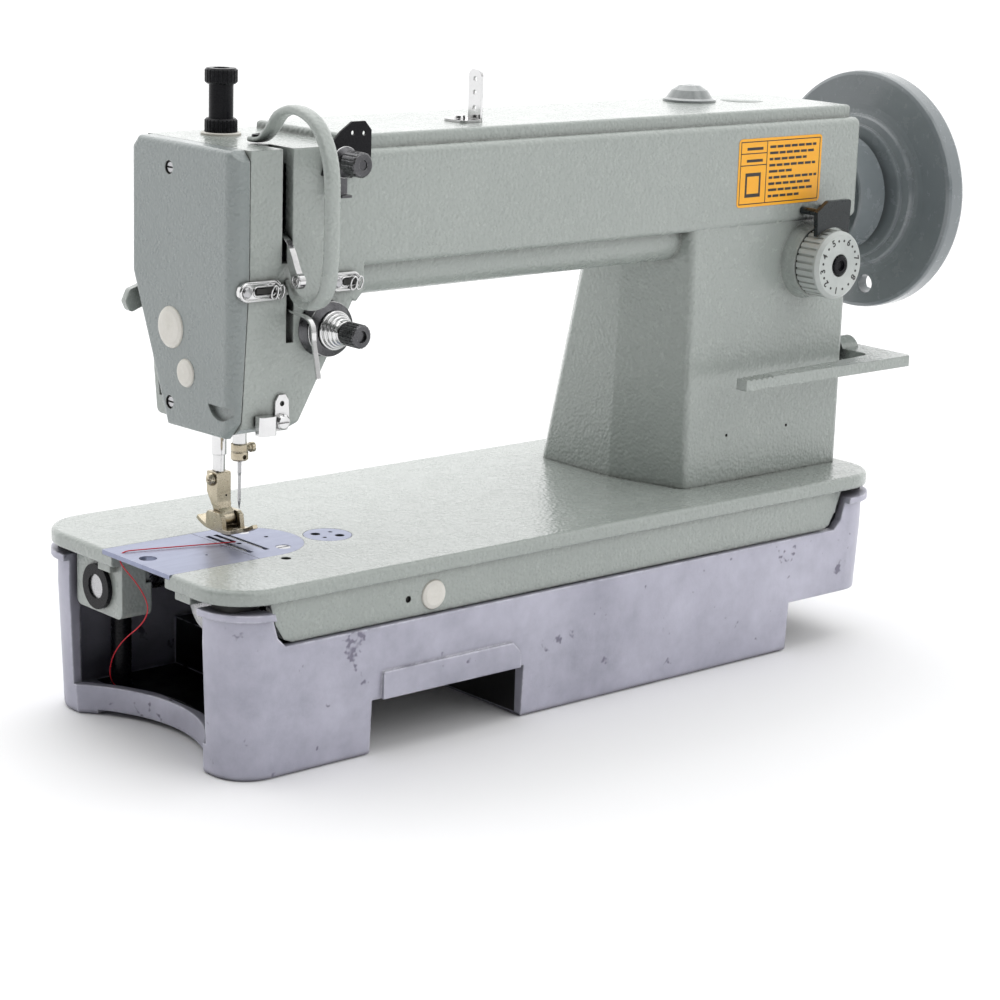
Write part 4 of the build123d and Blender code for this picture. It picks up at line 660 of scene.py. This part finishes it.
def make_trim():
    """The flush plug on the arm, the ring under the pressure knob and black discs set in small holes as painted
    shade.
    """
    bm = bmesh.new()
    plug = [(-0.2, 12.6), (0.1, 12.6), (0.12, 12.1), (0.45, 11.6), (0.5, 0)]
    turn(bm, (424.0, 84.0, ARM_TOP), (0, 0, 1), plug, steps=56)
    add_piece("arm_plug", mesh_from(bm, "arm_plug"), "machine", [PAINT])
    bm = bmesh.new()
    ring = [(0.0, 10.2), (0.9, 10.2), (1.3, 9.6), (1.3, 6.4), (0.0, 6.4)]
    turn(bm, (NEEDLE_X, PRESSER_Y, HEAD_TOP), (0, 0, 1), ring, steps=48)
    add_piece("knob_ring", mesh_from(bm, "knob_ring"), "machine", [WHITE_PLASTIC])
    # Black discs a little inside small holes: painted shade, so the holes look dark.
    bm = bmesh.new()
    holes = [((66.0, 43.0, -0.3), (0, 0, -1), 2.55), ((114.5, 4.3, -20.5), (0, 1, 0), 1.75),
             ((373.0, 33.9, 27.5), (0, 1, 0), 0.88), ((423.0, 33.9, 27.5), (0, 1, 0), 0.88)]
    for dx, dy, radius in ((-4.5, 4.6, 2.55), (4.5, -4.6, 2.55), (-4.6, -3.6, 1.15), (4.6, 3.6, 1.15)):
        holes.append(((112.0 + dx, 68.4 + dy, -0.25), (0, 0, -1), radius))
    for y, z in ((86.0, 195.0), (85.0, 78.0)):
        holes.append(((24.3, y, z), (1, 0, 0), 3.35))
    for centre, inward, radius in holes:
        turn(bm, centre, inward, [(0, radius), (1.2, radius - 0.02), (1.3, 0)], steps=24)
    add_piece("hole_shade_discs", mesh_from(bm, "hole_shade_discs"), "machine", [INK_AND_SHADE_BLACK])


make_trim()


# ------------------------------------------------------------------ needle thread
THREAD_ROUTE = [
    (62.4, 81.4, 0.7), (42.0, 87.8, 0.6), (20.0, 94.2, 0.7), (-1.4, 100.6, 0.6),
    (3.6, 76.5, -15.6), (14.0, 88.0, -34.0), (22.0, 131.0, -60.0), (23.0, 141.0, -80.0),
    (32.0, 141.0, -90.6), (44.0, 131.0, -90.65),
]
THREAD_DIAMETER = 0.6


def make_thread():
    curve = bpy.data.curves.new("red_thread", "CURVE")
    curve.dimensions = "3D"
    spline = curve.splines.new("NURBS")
    spline.points.add(len(THREAD_ROUTE) - 1)
    for point, place in zip(spline.points, THREAD_ROUTE):
        point.co = (*at(*place), 1.0)
    spline.order_u = 3
    spline.use_endpoint_u = True
    spline.resolution_u = 24
    curve.bevel_depth = THREAD_DIAMETER / 2 * MM
    curve.bevel_resolution = 3
    curve.use_fill_caps = True
    curve.materials.append(THREAD_RED)
    thread = bpy.data.objects.new("red_thread", curve)
    bpy.context.scene.collection.objects.link(thread)
    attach(thread, "machine")
    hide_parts("needle_thread")


make_thread()


# ------------------------------------------------------------------ studio
def sun(name, place, aim, energy, softness):
    """A soft sun from a place towards an aim; softness is its width in degrees."""
    data = bpy.data.lights.new(name, "SUN")
    data.energy = energy
    data.angle = math.radians(softness)
    lamp = bpy.data.objects.new(name, data)
    lamp.location = at(*place)
    lamp.rotation_mode = "QUATERNION"
    lamp.rotation_quaternion = (at(*aim) - lamp.location).to_track_quat("-Z", "Y")
    bpy.context.scene.collection.objects.link(lamp)


def make_studio():
    """A white floor, and a plain sky that is bright behind the machine and dim in front of it."""
    floor = bpy.data.meshes.new("floor")
    edge = 18.0
    low = BED_HIGH.z - FLOOR_BELOW_BED * MM
    floor.from_pydata([(-edge, -edge, low), (edge, -edge, low), (edge, edge, low), (-edge, edge, low)], [],
                      [(0, 1, 2, 3)])
    n = Nodes("floor_paper")
    place = n.add("ShaderNodeTexCoord").outputs["Object"]
    tone = n.mix(n.noise(place, 3.0), rgba((0.87, 0.87, 0.88)), rgba((0.9, 0.9, 0.905)))
    n.tree.links.new(tone, n.shader.inputs["Base Color"])
    n.shader.inputs["Roughness"].default_value = 0.75
    floor.materials.append(n.material)
    plane = bpy.data.objects.new("floor", floor)
    bpy.context.scene.collection.objects.link(plane)

    world = bpy.data.worlds.new("studio")
    world.use_nodes = True
    tree = world.node_tree
    toward = tree.nodes.new("ShaderNodeTexCoord").outputs["Generated"]
    facing = tree.nodes.new("ShaderNodeVectorMath")
    facing.operation = "DOT_PRODUCT"
    facing.inputs[1].default_value = (0.68, 0.73, 0.0)
    tree.links.new(toward, facing.inputs[0])
    ramp = tree.nodes.new("ShaderNodeMapRange")
    ramp.interpolation_type = "SMOOTHSTEP"
    ramp.inputs["From Min"].default_value = -0.75
    ramp.inputs["From Max"].default_value = 0.55
    ramp.inputs["To Min"].default_value = 0.08
    ramp.inputs["To Max"].default_value = 1.5
    tree.links.new(facing.outputs["Value"], ramp.inputs["Value"])
    tree.nodes["Background"].inputs["Color"].default_value = (1.0, 1.0, 1.0, 1.0)
    tree.links.new(ramp.outputs["Result"], tree.nodes["Background"].inputs["Strength"])
    bpy.context.scene.world = world
    sun("top_sun", (200, 400, 1500), (250, 90, 0), 1.15, 75)
    sun("front_sun", (450, -1000, 900), MIDDLE, 0.8, 50)
    bpy.context.scene.view_settings.view_transform = "Standard"


make_studio()
